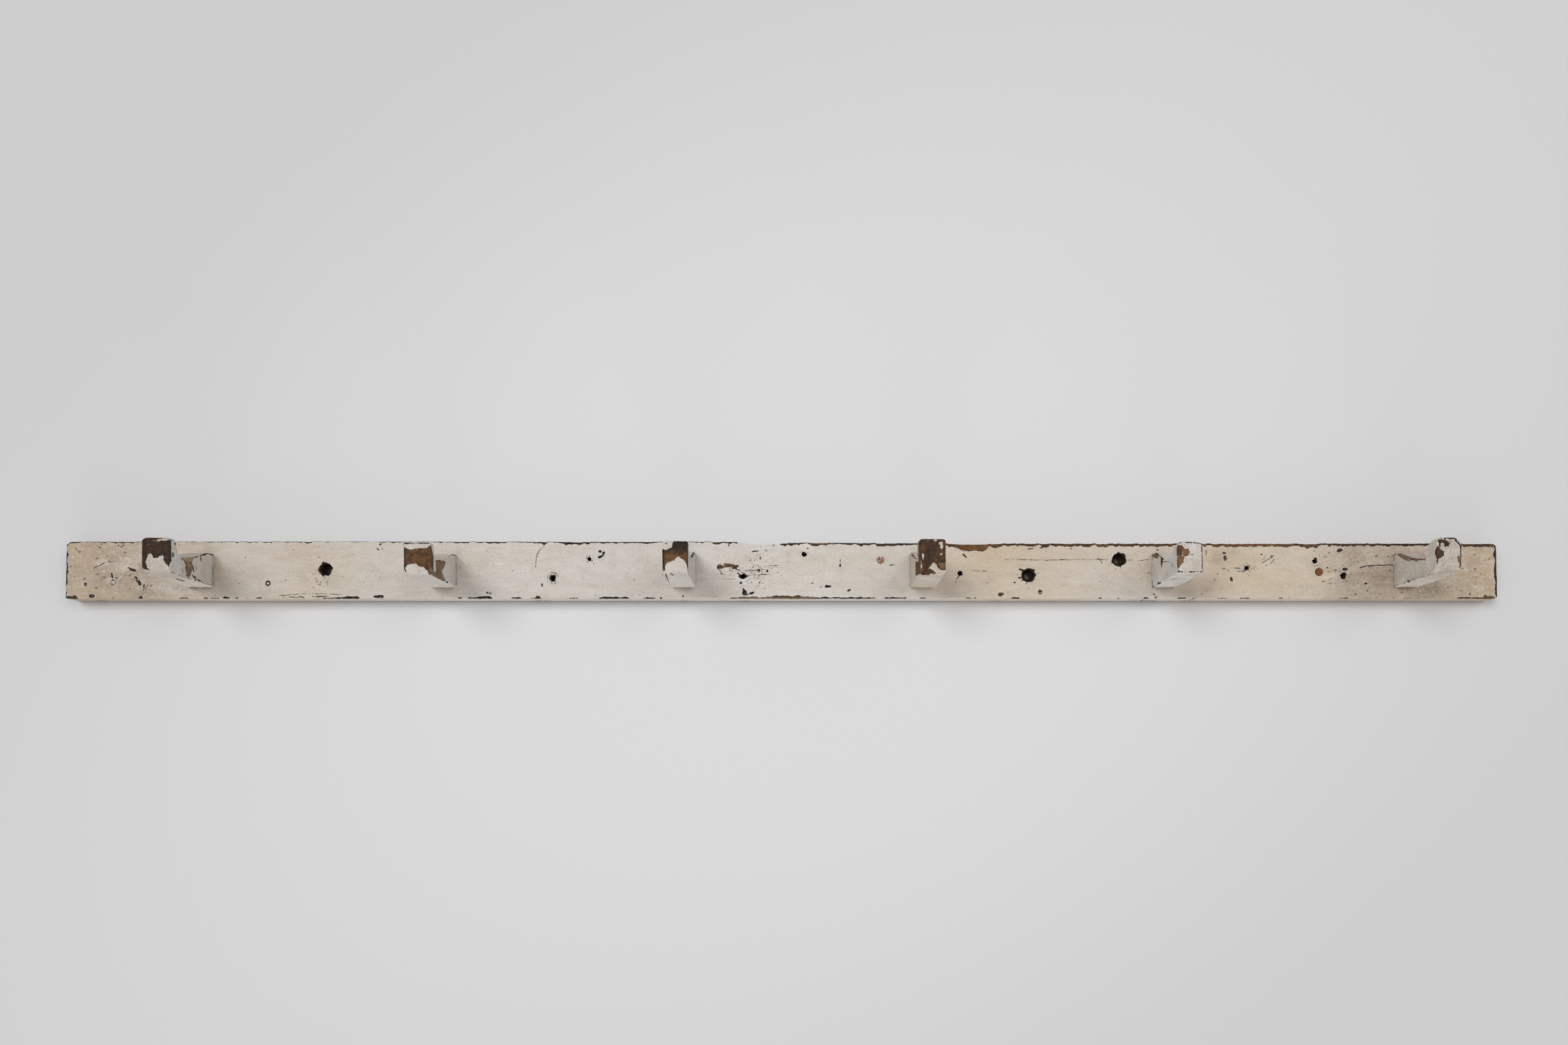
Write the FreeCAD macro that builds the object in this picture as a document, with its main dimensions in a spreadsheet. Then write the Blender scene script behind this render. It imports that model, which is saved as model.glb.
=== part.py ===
import FreeCAD, Part
import os

import Sketcher

# Wall coat rack: a long painted board with six hand-cut wooden hooks, each held from behind by two
# slotted wood screws. Millimetres. The origin is the centre of the board's back face: +X runs along
# the board to the right as one faces it, +Z is up, and the hooks stand out of the board towards -Y.

SIZES = {
    # Board
    "board_length": 1800.0,
    "board_height": 72.0,
    "board_thickness": 25.0,
    "board_corner_round": 3.0,
    "board_arris_round": 1.2,
    "left_end_lean": 2.6,
    "right_end_lean": 0.9,
    "hollow_depth": 4.3,
    "worn_drop": 2.2,
    # Wall-screw holes: a large counterbore in front and a clearance hole behind it
    "counterbore_radius": 8.0,
    "counterbore_depth": 12.0,
    "wall_screw_radius": 3.5,
    # Empty nail holes
    "nail_hole_radius": 2.6,
    "nail_hole_depth": 14.0,
    # Nails left in the board
    "nail_head_radius": 4.5,
    "nail_head_thickness": 1.2,
    "nail_head_proud": 0.4,
    "nail_shank_radius": 1.5,
    "nail_length": 20.0,
    "nail_point": 4.0,
    "nail_clearance": 0.3,
    # Where the hooks sit: the first and last from the board's ends, and all above its lower edge
    "first_hook_place": 170.5,
    "last_hook_margin": 116.3,
    "hook_seat_height": 13.8,
    # Hook pattern: out is measured from the board's front face, heights from the root's underside
    "hook_thickness": 31.0,
    "hook_reach": 104.5,
    "hook_root_height": 42.5,
    "hook_tip_height": 43.0,
    "hook_tip_thickness": 17.5,
    "hook_throat_back": 23.5,
    "hook_throat_height": 24.0,
    "hook_underside_rise": 3.0,
    "hook_shoulder_out": 15.0,
    "hook_shoulder_drop": 1.4,
    "hook_saddle_back": 54.5,
    "hook_saddle_sag": 2.7,
    "toe_round": 9.0,
    "brow_round": 2.5,
    "nape_round": 6.0,
    "throat_round": 6.0,
    "saddle_round": 80.0,
    "shoulder_round": 9.0,
    "hook_arris_round": 1.6,
    # Hook screws
    "screw_length": 50.0,
    "screw_head_radius": 4.5,
    "screw_head_rim": 0.5,
    "screw_head_below": 0.6,
    "screw_shank_radius": 2.25,
    "screw_core_radius": 1.6,
    "screw_thread_length": 24.0,
    "screw_thread_pitch": 2.4,
    "screw_point": 4.0,
    "screw_slot_width": 1.2,
    "screw_slot_depth": 1.3,
    "screw_lower_height": 11.0,
    "screw_top_margin": 14.5,
    "screw_clearance": 0.3,
    # One overrun for every cut that has to pass a face
    "overrun": 1.0,
}

# The worn hollow in the top edge: shares of the board's length, and of the hollow's depth
HOLLOW_SHARES = [(0.468, 0.0), (0.476, 0.7), (0.489, 1.0), (0.499, 0.65), (0.505, 0.28)]
# Where the top edge has worn down to its full drop, as a share of the board's length
WORN_FROM_SHARE = 0.611

# Places on the board's front: shares of its length from the left end and of its height
WALL_SCREW_SHARES = {
    "left": (0.182, 0.516),
    "middle": (0.6725, 0.411),
    "right": (0.7355, 0.69),
}
OLD_NAIL_SHARES = {
    # name: place, height, and the head's radius as a share of nail_head_radius
    "old_nail_left": (0.1416, 0.268, 0.7),
    "old_nail_middle": (0.5692, 0.675, 0.9),
    "old_nail_right": (0.8752, 0.466, 1.0),
}
NAIL_HOLE_SHARES = [
    # place, height, and the hole's radius as a share of nail_hole_radius
    (0.3405, 0.356, 1.25),
    (0.3659, 0.691, 0.80),
    (0.4730, 0.388, 1.05),
    (0.5158, 0.776, 1.00),
    (0.6247, 0.443, 0.95),
    (0.8248, 0.535, 0.90),
    (0.8724, 0.652, 0.85),
    (0.8923, 0.395, 1.20),
]

# How each hand-cut hook departs from the pattern, as shares of the pattern's sizes. The place is
# the shift along the board as a share of the pitch.
HOOK_SHARES = [
    {"place": 0.0, "thickness": 1.026, "root": 1.00, "tip": 1.035, "tip_thickness": 1.00,
     "throat_back": 1.00, "throat": 1.02, "rise": 1.40, "toe": 1.00, "nape": 1.10},
    {"place": 0.008, "thickness": 1.052, "root": 0.97, "tip": 0.895, "tip_thickness": 0.60,
     "throat_back": 0.76, "throat": 0.84, "rise": 0.20, "toe": 0.95, "nape": 0.60},
    {"place": 0.004, "thickness": 0.974, "root": 1.03, "tip": 0.940, "tip_thickness": 1.00,
     "throat_back": 1.00, "throat": 1.00, "rise": 1.00, "toe": 1.20, "nape": 1.00},
    {"place": -0.004, "thickness": 1.026, "root": 1.02, "tip": 1.000, "tip_thickness": 1.10,
     "throat_back": 1.06, "throat": 1.00, "rise": 0.10, "toe": 0.60, "nape": 1.00},
    {"place": -0.004, "thickness": 0.948, "root": 1.01, "tip": 0.916, "tip_thickness": 1.18,
     "throat_back": 1.04, "throat": 0.83, "rise": 0.40, "toe": 0.60, "nape": 1.45},
    {"place": 0.0, "thickness": 0.948, "root": 1.00, "tip": 1.035, "tip_thickness": 1.32,
     "throat_back": 1.18, "throat": 0.98, "rise": 1.20, "toe": 1.30, "nape": 1.30},
]

# A screw thread's root and crest within one pitch, as shares of the pitch
ROOT_SHARE = 0.35
CREST_SHARE = 0.85
# Two lengths count as the same within this share of them
ROUNDING = 1e-6

doc = FreeCAD.newDocument("WallCoatRack")
sheet = doc.addObject("Spreadsheet::Sheet", "Sizes")
sheet_rows = []
outlines = {}
circles = {}
parts = []

# The first half of the script works out every place as formulas of the named sizes. They go into
# the sheet together, and the second half draws the sketches and makes the solids from its cells.


def derive(alias, formula):
    """A value that the sheet works out from its named sizes."""
    sheet_rows.append((alias, "=" + formula))
    return alias


def plan_outline(name, corners):
    """The corners of a closed outline, as pairs of formulas."""
    outlines[name] = [
        (derive(f"{name}_{number}_across", across), derive(f"{name}_{number}_up", up))
        for number, (across, up) in enumerate(corners, start=1)
    ]


def plan_circles(name, rings):
    """Circles, each given as formulas for its centre and its radius."""
    circles[name] = [
        (derive(f"{name}_{number}_across", across), derive(f"{name}_{number}_up", up),
         derive(f"{name}_{number}_radius", radius))
        for number, (across, up, radius) in enumerate(rings, start=1)
    ]


def plan_place(name, along, out, height):
    """Where a body's own origin lies in the row's frame."""
    for axis, formula in (("x", along), ("y", out), ("z", height)):
        derive(f"{name}_place_{axis}", formula)


# Where the hooks and their screws are, as formulas that the board and the hooks share
HOOK_PLACES = [
    f"first_hook_place + hook_pitch * {number + shares['place']}"
    for number, shares in enumerate(HOOK_SHARES)
]
SCREW_HEIGHTS = ["screw_lower_height", "screw_lower_height + screw_spacing"]
SCREW_HOLE_RADIUS = "screw_shank_radius + screw_clearance"


def plan_backboard():
    """The plank's worn outline, its wall-screw and nail holes, and the holes for hook screws."""
    corners = [
        ("0", "0"),
        ("board_length", "0"),
        ("board_length - right_end_lean", "board_height - worn_drop"),
        (f"board_length * {WORN_FROM_SHARE}", "board_height - worn_drop"),
    ]
    for along, depth in reversed(HOLLOW_SHARES):
        corners.append((f"board_length * {along}", f"board_height - hollow_depth * {depth}"))
    corners.append(("left_end_lean", "board_height"))
    plan_outline("board_outline", corners)

    wall_places = [
        (f"board_length * {along}", f"board_height * {up}")
        for along, up in WALL_SCREW_SHARES.values()
    ]
    plan_circles("wall_screw_clearances", [(*place, "wall_screw_radius") for place in wall_places])
    plan_circles("wall_screw_mouths", [(*place, "counterbore_radius") for place in wall_places])
    plan_circles("nail_hole_mouths", [
        (f"board_length * {along}", f"board_height * {up}", f"nail_hole_radius * {share}")
        for along, up, share in NAIL_HOLE_SHARES
    ])

    nail_places = [
        (f"board_length * {along}", f"board_height * {up}", f"nail_head_radius * {share}")
        for along, up, share in OLD_NAIL_SHARES.values()
    ]
    plan_circles("old_nail_shank_mouths", [
        (along, up, "nail_shank_radius + nail_clearance") for along, up, head in nail_places
    ])
    plan_circles("old_nail_seat_mouths", [
        (along, up, f"{head} + nail_clearance") for along, up, head in nail_places
    ])
    derive("nail_hole_reach", "nail_length - nail_head_proud + nail_clearance")
    derive("nail_seat_depth", "nail_head_thickness - nail_head_proud")

    screw_places = [
        (place, f"hook_seat_height + {height}")
        for place in HOOK_PLACES for height in SCREW_HEIGHTS
    ]
    mouth = "screw_head_radius + screw_head_rim + screw_head_below + screw_clearance"
    plan_circles("hook_screw_clearances", [(*place, SCREW_HOLE_RADIUS) for place in screw_places])
    plan_circles("hook_screw_mouths", [(*place, mouth) for place in screw_places])
    derive("countersink_depth", f"({mouth}) - ({SCREW_HOLE_RADIUS})")
    plan_place("backboard", "-board_length * 0.5", "0", "-board_height * 0.5")


def plan_hook(number, shares):
    """The side profile of one hook, seen with the wall on the left, and its pilot holes."""
    name = f"hook_{number}"
    tip = f"hook_tip_height * {shares['tip']}"
    root = f"hook_root_height * {shares['root']}"
    throat_out = f"(hook_reach - hook_throat_back * {shares['throat_back']})"
    throat_up = f"hook_throat_height * {shares['throat']}"
    shoulder_up = f"({root} - hook_shoulder_drop)"
    saddle_out = "(hook_reach - hook_saddle_back)"
    run = f"({throat_out} - {saddle_out}) / ({throat_out} - hook_shoulder_out)"
    saddle_up = f"{throat_up} + ({shoulder_up} - {throat_up}) * {run} - hook_saddle_sag"
    plan_outline(f"{name}_profile", [
        ("0", "0"),
        ("hook_reach", f"hook_underside_rise * {shares['rise']}"),
        ("hook_reach", tip),
        (f"hook_reach - hook_tip_thickness * {shares['tip_thickness']}", tip),
        (throat_out, throat_up),
        (saddle_out, saddle_up),
        ("hook_shoulder_out", shoulder_up),
        ("0", root),
    ])
    derive(f"{name}_thickness", f"hook_thickness * {shares['thickness']}")
    derive(f"{name}_toe_round", f"toe_round * {shares['toe']}")
    derive(f"{name}_nape_round", f"nape_round * {shares['nape']}")
    plan_circles(f"{name}_pilot_mouths", [
        ("0", height, SCREW_HOLE_RADIUS) for height in SCREW_HEIGHTS
    ])
    plan_place(name, f"{HOOK_PLACES[number - 1]} - board_length * 0.5", "-board_thickness",
               "hook_seat_height - board_height * 0.5")


def plan_screws(number):
    """Half the outline of a slotted wood screw, from its head to its point."""
    name = f"hook_{number}_screws"
    thread_start = "screw_length - screw_thread_length"
    corners = [
        ("0", "0"),
        ("screw_head_radius", "0"),
        ("screw_head_radius", "screw_head_rim"),
        ("screw_shank_radius", "screw_head_rim + screw_head_radius - screw_shank_radius"),
        ("screw_shank_radius", thread_start),
    ]
    threaded = SIZES["screw_thread_length"] - SIZES["screw_point"]
    for ridge in range(int(threaded / SIZES["screw_thread_pitch"])):
        for radius, turns in (("screw_core_radius", ridge + ROOT_SHARE),
                              ("screw_shank_radius", ridge + CREST_SHARE)):
            corners.append((radius, f"{thread_start} + screw_thread_pitch * {turns}"))
    corners.append(("screw_core_radius", "screw_length - screw_point"))
    corners.append(("0", "screw_length"))
    plan_outline(f"{name}_profile", corners)
    plan_place(name, f"{HOOK_PLACES[number - 1]} - board_length * 0.5", "-screw_head_below",
               "hook_seat_height + screw_lower_height - board_height * 0.5")


def plan_old_nail(name, along, up, head_share):
    """Half the outline of a round nail, from its head to its point."""
    plan_outline(f"{name}_profile", [
        ("0", "0"),
        (f"nail_head_radius * {head_share}", "0"),
        (f"nail_head_radius * {head_share}", "nail_head_thickness"),
        ("nail_shank_radius", "nail_head_thickness"),
        ("nail_shank_radius", "nail_length - nail_point"),
        ("0", "nail_length"),
    ])
    plan_place(name, f"board_length * {along} - board_length * 0.5",
               "-board_thickness - nail_head_proud",
               f"board_height * {up} - board_height * 0.5")


def fill_sheet():
    """Write each named size, and each value that follows from them, into its own cell."""
    rows = [(alias, str(value)) for alias, value in SIZES.items()] + sheet_rows
    for row, (alias, content) in enumerate(rows, start=1):
        sheet.set(f"A{row}", alias)
        sheet.set(f"B{row}", content)
        sheet.setAlias(f"B{row}", alias)
    doc.recompute()


def origin_part(body, role):
    """A plane or an axis of the body's own origin, such as XZ_Plane."""
    return [item for item in body.Origin.OriginFeatures if item.Role == role][0]


def new_body(name, turned=False):
    """The body of one node in its place, turned to stand out of the board if asked."""
    body = doc.addObject("PartDesign::Body", name)
    body.Label = name
    parts.append(body)
    if turned:
        body.Placement.Rotation = FreeCAD.Rotation(FreeCAD.Vector(0, 0, 1), 180)
    for axis in ("x", "y", "z"):
        body.setExpression(f"Placement.Base.{axis}", f"Sizes.{name}_place_{axis}")
    return body


def new_sketch(body, name, plane, offset=None):
    """An empty sketch on one of the body's own planes, moved along its normal by a named size."""
    sketch = body.newObject("Sketcher::SketchObject", name)
    sketch.AttachmentSupport = (origin_part(body, plane), [""])
    sketch.MapMode = "FlatFace"
    if offset:
        sketch.setExpression("AttachmentOffset.Base.z", f"Sizes.{offset}")
    return sketch


def pin_down(sketch, geometry, point, alias_across, alias_up):
    """Hold a point of the sketch at two distances from its origin, both read from the sheet."""
    for kind, alias, axis in (("DistanceX", alias_across, -2), ("DistanceY", alias_up, -1)):
        value = sheet.get(alias)
        if value == 0:
            sketch.addConstraint(Sketcher.Constraint("PointOnObject", geometry, point, axis))
            continue
        number = sketch.addConstraint(Sketcher.Constraint(kind, -1, 1, geometry, point, value))
        sketch.setExpression(f"Constraints[{number}]", f"Sizes.{alias}")


def draw_loop(sketch, places):
    """Draw a closed loop of straight lines through places."""
    count = len(places)
    for number, place in enumerate(places):
        following = places[(number + 1) % count]
        line = Part.LineSegment(FreeCAD.Vector(*place, 0), FreeCAD.Vector(*following, 0))
        sketch.addGeometry(line)
    for number in range(count):
        joint = Sketcher.Constraint("Coincident", number, 2, (number + 1) % count, 1)
        sketch.addConstraint(joint)


def outline_sketch(body, name, plane):
    """The sketch of a planned outline, and its corners' places."""
    sketch = new_sketch(body, name, plane)
    places = [(sheet.get(across), sheet.get(up)) for across, up in outlines[name]]
    draw_loop(sketch, places)
    for number, (across, up) in enumerate(outlines[name]):
        pin_down(sketch, number, 1, across, up)
    return sketch, places


def circle_sketch(body, name, offset=None):
    """The sketch of a set of planned circles, on the face that looks along the body's Y axis."""
    sketch = new_sketch(body, name, "XZ_Plane", offset)
    for across, up, radius in circles[name]:
        centre = FreeCAD.Vector(sheet.get(across), sheet.get(up), 0)
        ring = Part.Circle(centre, FreeCAD.Vector(0, 0, 1), sheet.get(radius))
        circle = sketch.addGeometry(ring)
        pin_down(sketch, circle, 3, across, up)
        index = sketch.addConstraint(Sketcher.Constraint("Radius", circle, sheet.get(radius)))
        sketch.setExpression(f"Constraints[{index}]", f"Sizes.{radius}")
    return sketch


def cut(body, name, sketch, depth=None, taper=0.0, along_normal=False):
    """Pocket a sketch into the body, right through it if no depth is named."""
    before = body.Shape.Volume
    pocket = body.newObject("PartDesign::Pocket", name)
    pocket.Profile = sketch
    pocket.Reversed = along_normal
    pocket.TaperAngle = taper
    if depth:
        pocket.Type = "Length"
        pocket.setExpression("Length", f"Sizes.{depth}")
    else:
        pocket.Type = "ThroughAll"
    doc.recompute()
    if not body.Shape.Volume < before:
        raise RuntimeError(f"{name} cuts nothing")
    return pocket


def round_edges(body, name, wanted, radius):
    """Round the edges of the body's last feature that a test picks, by a named radius."""
    base = body.Tip
    names = []
    for number, edge in enumerate(base.Shape.Edges, start=1):
        if wanted(edge):
            names.append(f"Edge{number}")
    fillet = body.newObject("PartDesign::Fillet", name)
    fillet.Base = (base, names)
    fillet.setExpression("Radius", f"Sizes.{radius}")
    doc.recompute()


def turn_profile(body, name):
    """Turn a planned half outline round the body's own Y axis."""
    sketch, _ = outline_sketch(body, f"{name}_profile", "XY_Plane")
    turn = body.newObject("PartDesign::Revolution", f"{name}_turned")
    turn.Profile = sketch
    turn.ReferenceAxis = (sketch, ["V_Axis"])
    turn.Angle = 360
    doc.recompute()
    return turn


def is_at(value, target):
    """Whether two lengths are the same, to within rounding."""
    return abs(value - target) < ROUNDING * max(1, abs(target))


def make_backboard():
    """The board: a long plank with a worn top edge, wall-screw holes and old nail holes."""
    body = new_body("backboard")
    thickness = sheet.get("board_thickness")
    outline, places = outline_sketch(body, "board_outline", "XZ_Plane")
    pad = body.newObject("PartDesign::Pad", "board_plank")
    pad.Profile = outline
    pad.setExpression("Length", "Sizes.board_thickness")
    doc.recompute()

    end_corners = [places[0], places[1], places[2], places[-1]]

    def is_corner(edge):
        box = edge.BoundBox
        if not is_at(box.YLength, thickness):
            return False
        return any(is_at(box.XMin, along) and is_at(box.ZMin, up) for along, up in end_corners)

    def is_front(edge):
        return is_at(edge.BoundBox.YMax, -thickness)

    round_edges(body, "board_corners", is_corner, "board_corner_round")
    round_edges(body, "board_arrises", is_front, "board_arris_round")

    cut(body, "wall_screw_holes", circle_sketch(body, "wall_screw_clearances"),
        along_normal=True)
    for name, mouths, depth in (
        ("wall_screw_counterbores", "wall_screw_mouths", "counterbore_depth"),
        ("nail_holes", "nail_hole_mouths", "nail_hole_depth"),
        ("old_nail_holes", "old_nail_shank_mouths", "nail_hole_reach"),
        ("old_nail_seats", "old_nail_seat_mouths", "nail_seat_depth"),
    ):
        cut(body, name, circle_sketch(body, mouths, offset="board_thickness"), depth)
    cut(body, "hook_screw_holes", circle_sketch(body, "hook_screw_clearances"),
        along_normal=True)
    cut(body, "hook_screw_countersinks", circle_sketch(body, "hook_screw_mouths"),
        depth="countersink_depth", taper=-45.0, along_normal=True)


def make_hook(number):
    """One hook: its side profile padded to its thickness, rounded, with pilot holes in its root."""
    name = f"hook_{number}"
    body = new_body(name, turned=True)
    profile, places = outline_sketch(body, f"{name}_profile", "YZ_Plane")
    pad = body.newObject("PartDesign::Pad", f"{name}_blank")
    pad.Profile = profile
    pad.SideType = "Symmetric"
    pad.setExpression("Length", f"Sizes.{name}_thickness")
    doc.recompute()

    # The rounded corners of the profile, in its order from the toe to the shoulder
    roundings = [
        ("toe", f"{name}_toe_round"),
        ("brow", "brow_round"),
        ("nape", f"{name}_nape_round"),
        ("throat", "throat_round"),
        ("saddle", "saddle_round"),
        ("shoulder", "shoulder_round"),
    ]
    for (word, radius), (out, up) in zip(roundings, places[1:-1]):
        def lies_across(edge, out=out, up=up):
            box = edge.BoundBox
            across = box.XLength > box.YLength + box.ZLength
            return across and is_at(box.YMin, out) and is_at(box.ZMin, up)

        round_edges(body, f"{name}_{word}", lies_across, radius)

    half = sheet.get(f"{name}_thickness") / 2

    def is_arris(edge):
        box = edge.BoundBox
        on_side = is_at(abs(box.XMin), half) and is_at(box.XMin, box.XMax)
        return on_side and not is_at(box.YMax, 0)

    round_edges(body, f"{name}_arrises", is_arris, "hook_arris_round")
    cut(body, f"{name}_pilots", circle_sketch(body, f"{name}_pilot_mouths"), "pilot_depth")


def slot_sketch(body, name):
    """A screwdriver slot's outline, centred on the screw and longer than its head."""
    sketch = new_sketch(body, name, "XZ_Plane")
    half_long = sheet.get("slot_length") / 2
    half_wide = sheet.get("screw_slot_width") / 2
    draw_loop(sketch, [(-half_long, -half_wide), (half_long, -half_wide),
                       (half_long, half_wide), (-half_long, half_wide)])
    for number, kind in enumerate(("Horizontal", "Vertical", "Horizontal", "Vertical")):
        sketch.addConstraint(Sketcher.Constraint(kind, number))
    sketch.addConstraint(Sketcher.Constraint("Symmetric", 0, 1, 2, 1, -1, 1))
    for kind, line, alias in (("DistanceX", 0, "slot_length"), ("DistanceY", 1, "screw_slot_width")):
        constraint = Sketcher.Constraint(kind, line, 1, line, 2, sheet.get(alias))
        index = sketch.addConstraint(constraint)
        sketch.setExpression(f"Constraints[{index}]", f"Sizes.{alias}")
    return sketch


def make_screws(number):
    """The two slotted wood screws of one hook, driven from the back of the board."""
    name = f"hook_{number}_screws"
    body = new_body(name, turned=True)
    turned = turn_profile(body, name)
    slot = cut(body, f"{name}_slot", slot_sketch(body, f"{name}_slot_mouth"), "screw_slot_depth")
    pattern = body.newObject("PartDesign::LinearPattern", f"{name}_pair")
    pattern.Originals = [turned, slot]
    pattern.Direction = (origin_part(body, "Z_Axis"), [""])
    pattern.Occurrences = 2
    pattern.setExpression("Length", "Sizes.screw_spacing")
    body.Tip = pattern
    doc.recompute()


spaces_between_hooks = len(HOOK_SHARES) - 1
derive("hook_pitch", f"(board_length - first_hook_place - last_hook_margin) / {spaces_between_hooks}")
derive("screw_spacing", "hook_root_height - screw_lower_height - screw_top_margin")
derive("pilot_depth", "screw_length + screw_head_below + screw_clearance - board_thickness")
derive("slot_length", "2 * screw_head_radius + 2 * overrun")
plan_backboard()
for hook_number, hook_shares in enumerate(HOOK_SHARES, start=1):
    plan_hook(hook_number, hook_shares)
    plan_screws(hook_number)
for nail_name, nail_shares in OLD_NAIL_SHARES.items():
    plan_old_nail(nail_name, *nail_shares)
fill_sheet()

make_backboard()
for hook_number in range(1, len(HOOK_SHARES) + 1):
    make_hook(hook_number)
    make_screws(hook_number)
for nail_name in OLD_NAIL_SHARES:
    turn_profile(new_body(nail_name), nail_name)
doc.recompute()

for item in doc.Objects:
    if "Invalid" in item.State or "Error" in item.State:
        raise RuntimeError(f"{item.Label} failed: {item.State}")
for part in parts:
    if part.Shape.isNull() or not part.Shape.isValid():
        raise RuntimeError(f"{part.Label} has no valid shape")

os.makedirs("parts", exist_ok=True)
for part in parts:
    part.Shape.exportStep(f"parts/{part.Label}.step")
    print(f"{part.Label}: {len(part.Shape.Solids)} solid(s), {part.Shape.Volume:.0f} cubic mm")
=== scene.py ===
import itertools
import math

import bmesh
import bpy
import numpy as np
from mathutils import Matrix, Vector


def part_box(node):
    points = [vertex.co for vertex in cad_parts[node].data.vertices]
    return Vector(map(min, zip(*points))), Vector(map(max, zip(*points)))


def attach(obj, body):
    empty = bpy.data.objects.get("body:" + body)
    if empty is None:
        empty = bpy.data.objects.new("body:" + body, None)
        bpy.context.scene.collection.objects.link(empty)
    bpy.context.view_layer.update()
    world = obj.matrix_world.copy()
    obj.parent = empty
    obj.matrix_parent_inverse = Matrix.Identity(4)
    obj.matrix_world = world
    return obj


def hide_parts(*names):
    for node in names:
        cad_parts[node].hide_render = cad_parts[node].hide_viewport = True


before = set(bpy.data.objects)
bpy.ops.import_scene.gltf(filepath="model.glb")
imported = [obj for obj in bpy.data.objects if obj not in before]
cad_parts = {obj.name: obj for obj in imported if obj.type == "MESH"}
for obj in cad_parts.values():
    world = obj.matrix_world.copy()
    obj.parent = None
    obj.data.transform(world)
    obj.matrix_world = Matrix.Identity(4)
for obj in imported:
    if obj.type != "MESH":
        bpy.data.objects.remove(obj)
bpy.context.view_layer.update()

# Wall coat rack: the worn paint, bare wood, old holes and rust of a long board with six hand-cut
# hooks. The CAD model gives every size and place. The board and the hooks are remade here as dense
# meshes that lie in their solids, and the screws and nails keep their solids.
#
# Meshes are worked out in millimetres. On the board, along runs from the left end, up from the
# lower edge and deep from the front face. On a hook, side is measured from its middle, out from
# the board's front and up from the underside of its root.

MM = 0.001

# The photograph's frame, and where the board lies in it
PHOTO_WIDE = 2250
PHOTO_HIGH = 1500
BOARD_LEFT_PX = 93.5
BOARD_LOWER_PX = 859.3
MM_PER_PX = 0.8755
# Where lines that run away from the camera meet, and how far the camera is from the board's front
VANISH_X_PX = 1152.6
VANISH_Y_PX = 1090.0
CAMERA_AWAY = 1518.0

board_low, board_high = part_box("backboard")
BOARD_LONG = (board_high.x - board_low.x) / MM
BOARD_TALL = (board_high.z - board_low.z) / MM
BOARD_THICK = (board_high.y - board_low.y) / MM
# The board's lower left front corner in the frame, in millimetres
CORNER = np.array((board_low.x, board_low.y, board_low.z)) / MM
HOOKS = range(1, 7)
# For each old nail: how rusty its head is, where the ring lies and how wide it is, as shares of the
# head's radius, and how much narrower than high the ring is
NAIL_LOOKS = {
    "left": (0.0, 0.8, 0.32, 1.2), "middle": (0.8, 1.0, -0.3, 1.0), "right": (1.3, 1.0, 0.12, 1.0),
}


def px_along(x):
    """Millimetres from the board's left end, for a pixel column at its front face."""
    return (x - BOARD_LEFT_PX) * MM_PER_PX


def px_up(y):
    """Millimetres above the board's lower edge, for a pixel row at its front face."""
    return (BOARD_LOWER_PX - y) * MM_PER_PX


def px_at_depth(x, y, out):
    """Along and up on the board for a pixel of something that stands out of it by a distance."""
    scale = CAMERA_AWAY / (CAMERA_AWAY - out)
    return (px_along((x - VANISH_X_PX) / scale + VANISH_X_PX),
            px_up((y - VANISH_Y_PX) / scale + VANISH_Y_PX))


def px_on_side(x, y, along, lean):
    """Out and up for a pixel of a hook's side face: how far along it is, and how far it leans."""
    out = 0.0
    for _ in range(4):
        plain = (along + lean * out) / MM_PER_PX + BOARD_LEFT_PX
        scale = (x - VANISH_X_PX) / (plain - VANISH_X_PX)
        out = CAMERA_AWAY * (1 - 1 / scale)
    return out, px_up((y - VANISH_Y_PX) / scale + VANISH_Y_PX)


def px_on_underside(x, y, height):
    """Along and out where the line of sight through a pixel meets a level at that height."""
    near, far = px_at_depth(x, y, 0), px_at_depth(x, y, 100)
    part = (height - near[1]) / (far[1] - near[1])
    return near[0] + (far[0] - near[0]) * part, 100 * part


def pairs(flat):
    """Points from a flat row of numbers."""
    return list(zip(flat[::2], flat[1::2]))


# Fields on points


def value_noise(points, size, seed):
    """Smooth noise from -1 to 1, with lumps about size across; size may differ by axis."""
    scaled = points / np.asarray(size, float)
    cell = np.floor(scaled).astype(np.int64)
    part = scaled - cell
    part = part * part * (3 - 2 * part)
    total = np.zeros(len(points))
    for corner in itertools.product((0, 1), repeat=3):
        mixed = (cell + corner) @ np.array((73856093, 19349663, 83492791)) + seed * 40503
        mixed = (mixed ^ (mixed >> 13)) * 1274126177
        mixed = (mixed ^ (mixed >> 16)) & 0xFFFF
        weight = np.prod(np.where(corner, part, 1 - part), axis=1)
        total += weight * (mixed / 32767.5 - 1)
    return total


def smooth(values, low, high):
    """0 below low, 1 above high and a smooth rise between them."""
    part = np.clip((values - low) / (high - low), 0, 1)
    return part * part * (3 - 2 * part)


def in_ellipse(x, y, centre, radii, turn=0.0):
    """Signed distance to an ellipse's edge, positive inside."""
    cos, sin = math.cos(math.radians(turn)), math.sin(math.radians(turn))
    dx, dy = x - centre[0], y - centre[1]
    reach = np.hypot((dx * cos + dy * sin) / radii[0], (dy * cos - dx * sin) / radii[1])
    return min(radii) * (1 - reach)


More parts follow.
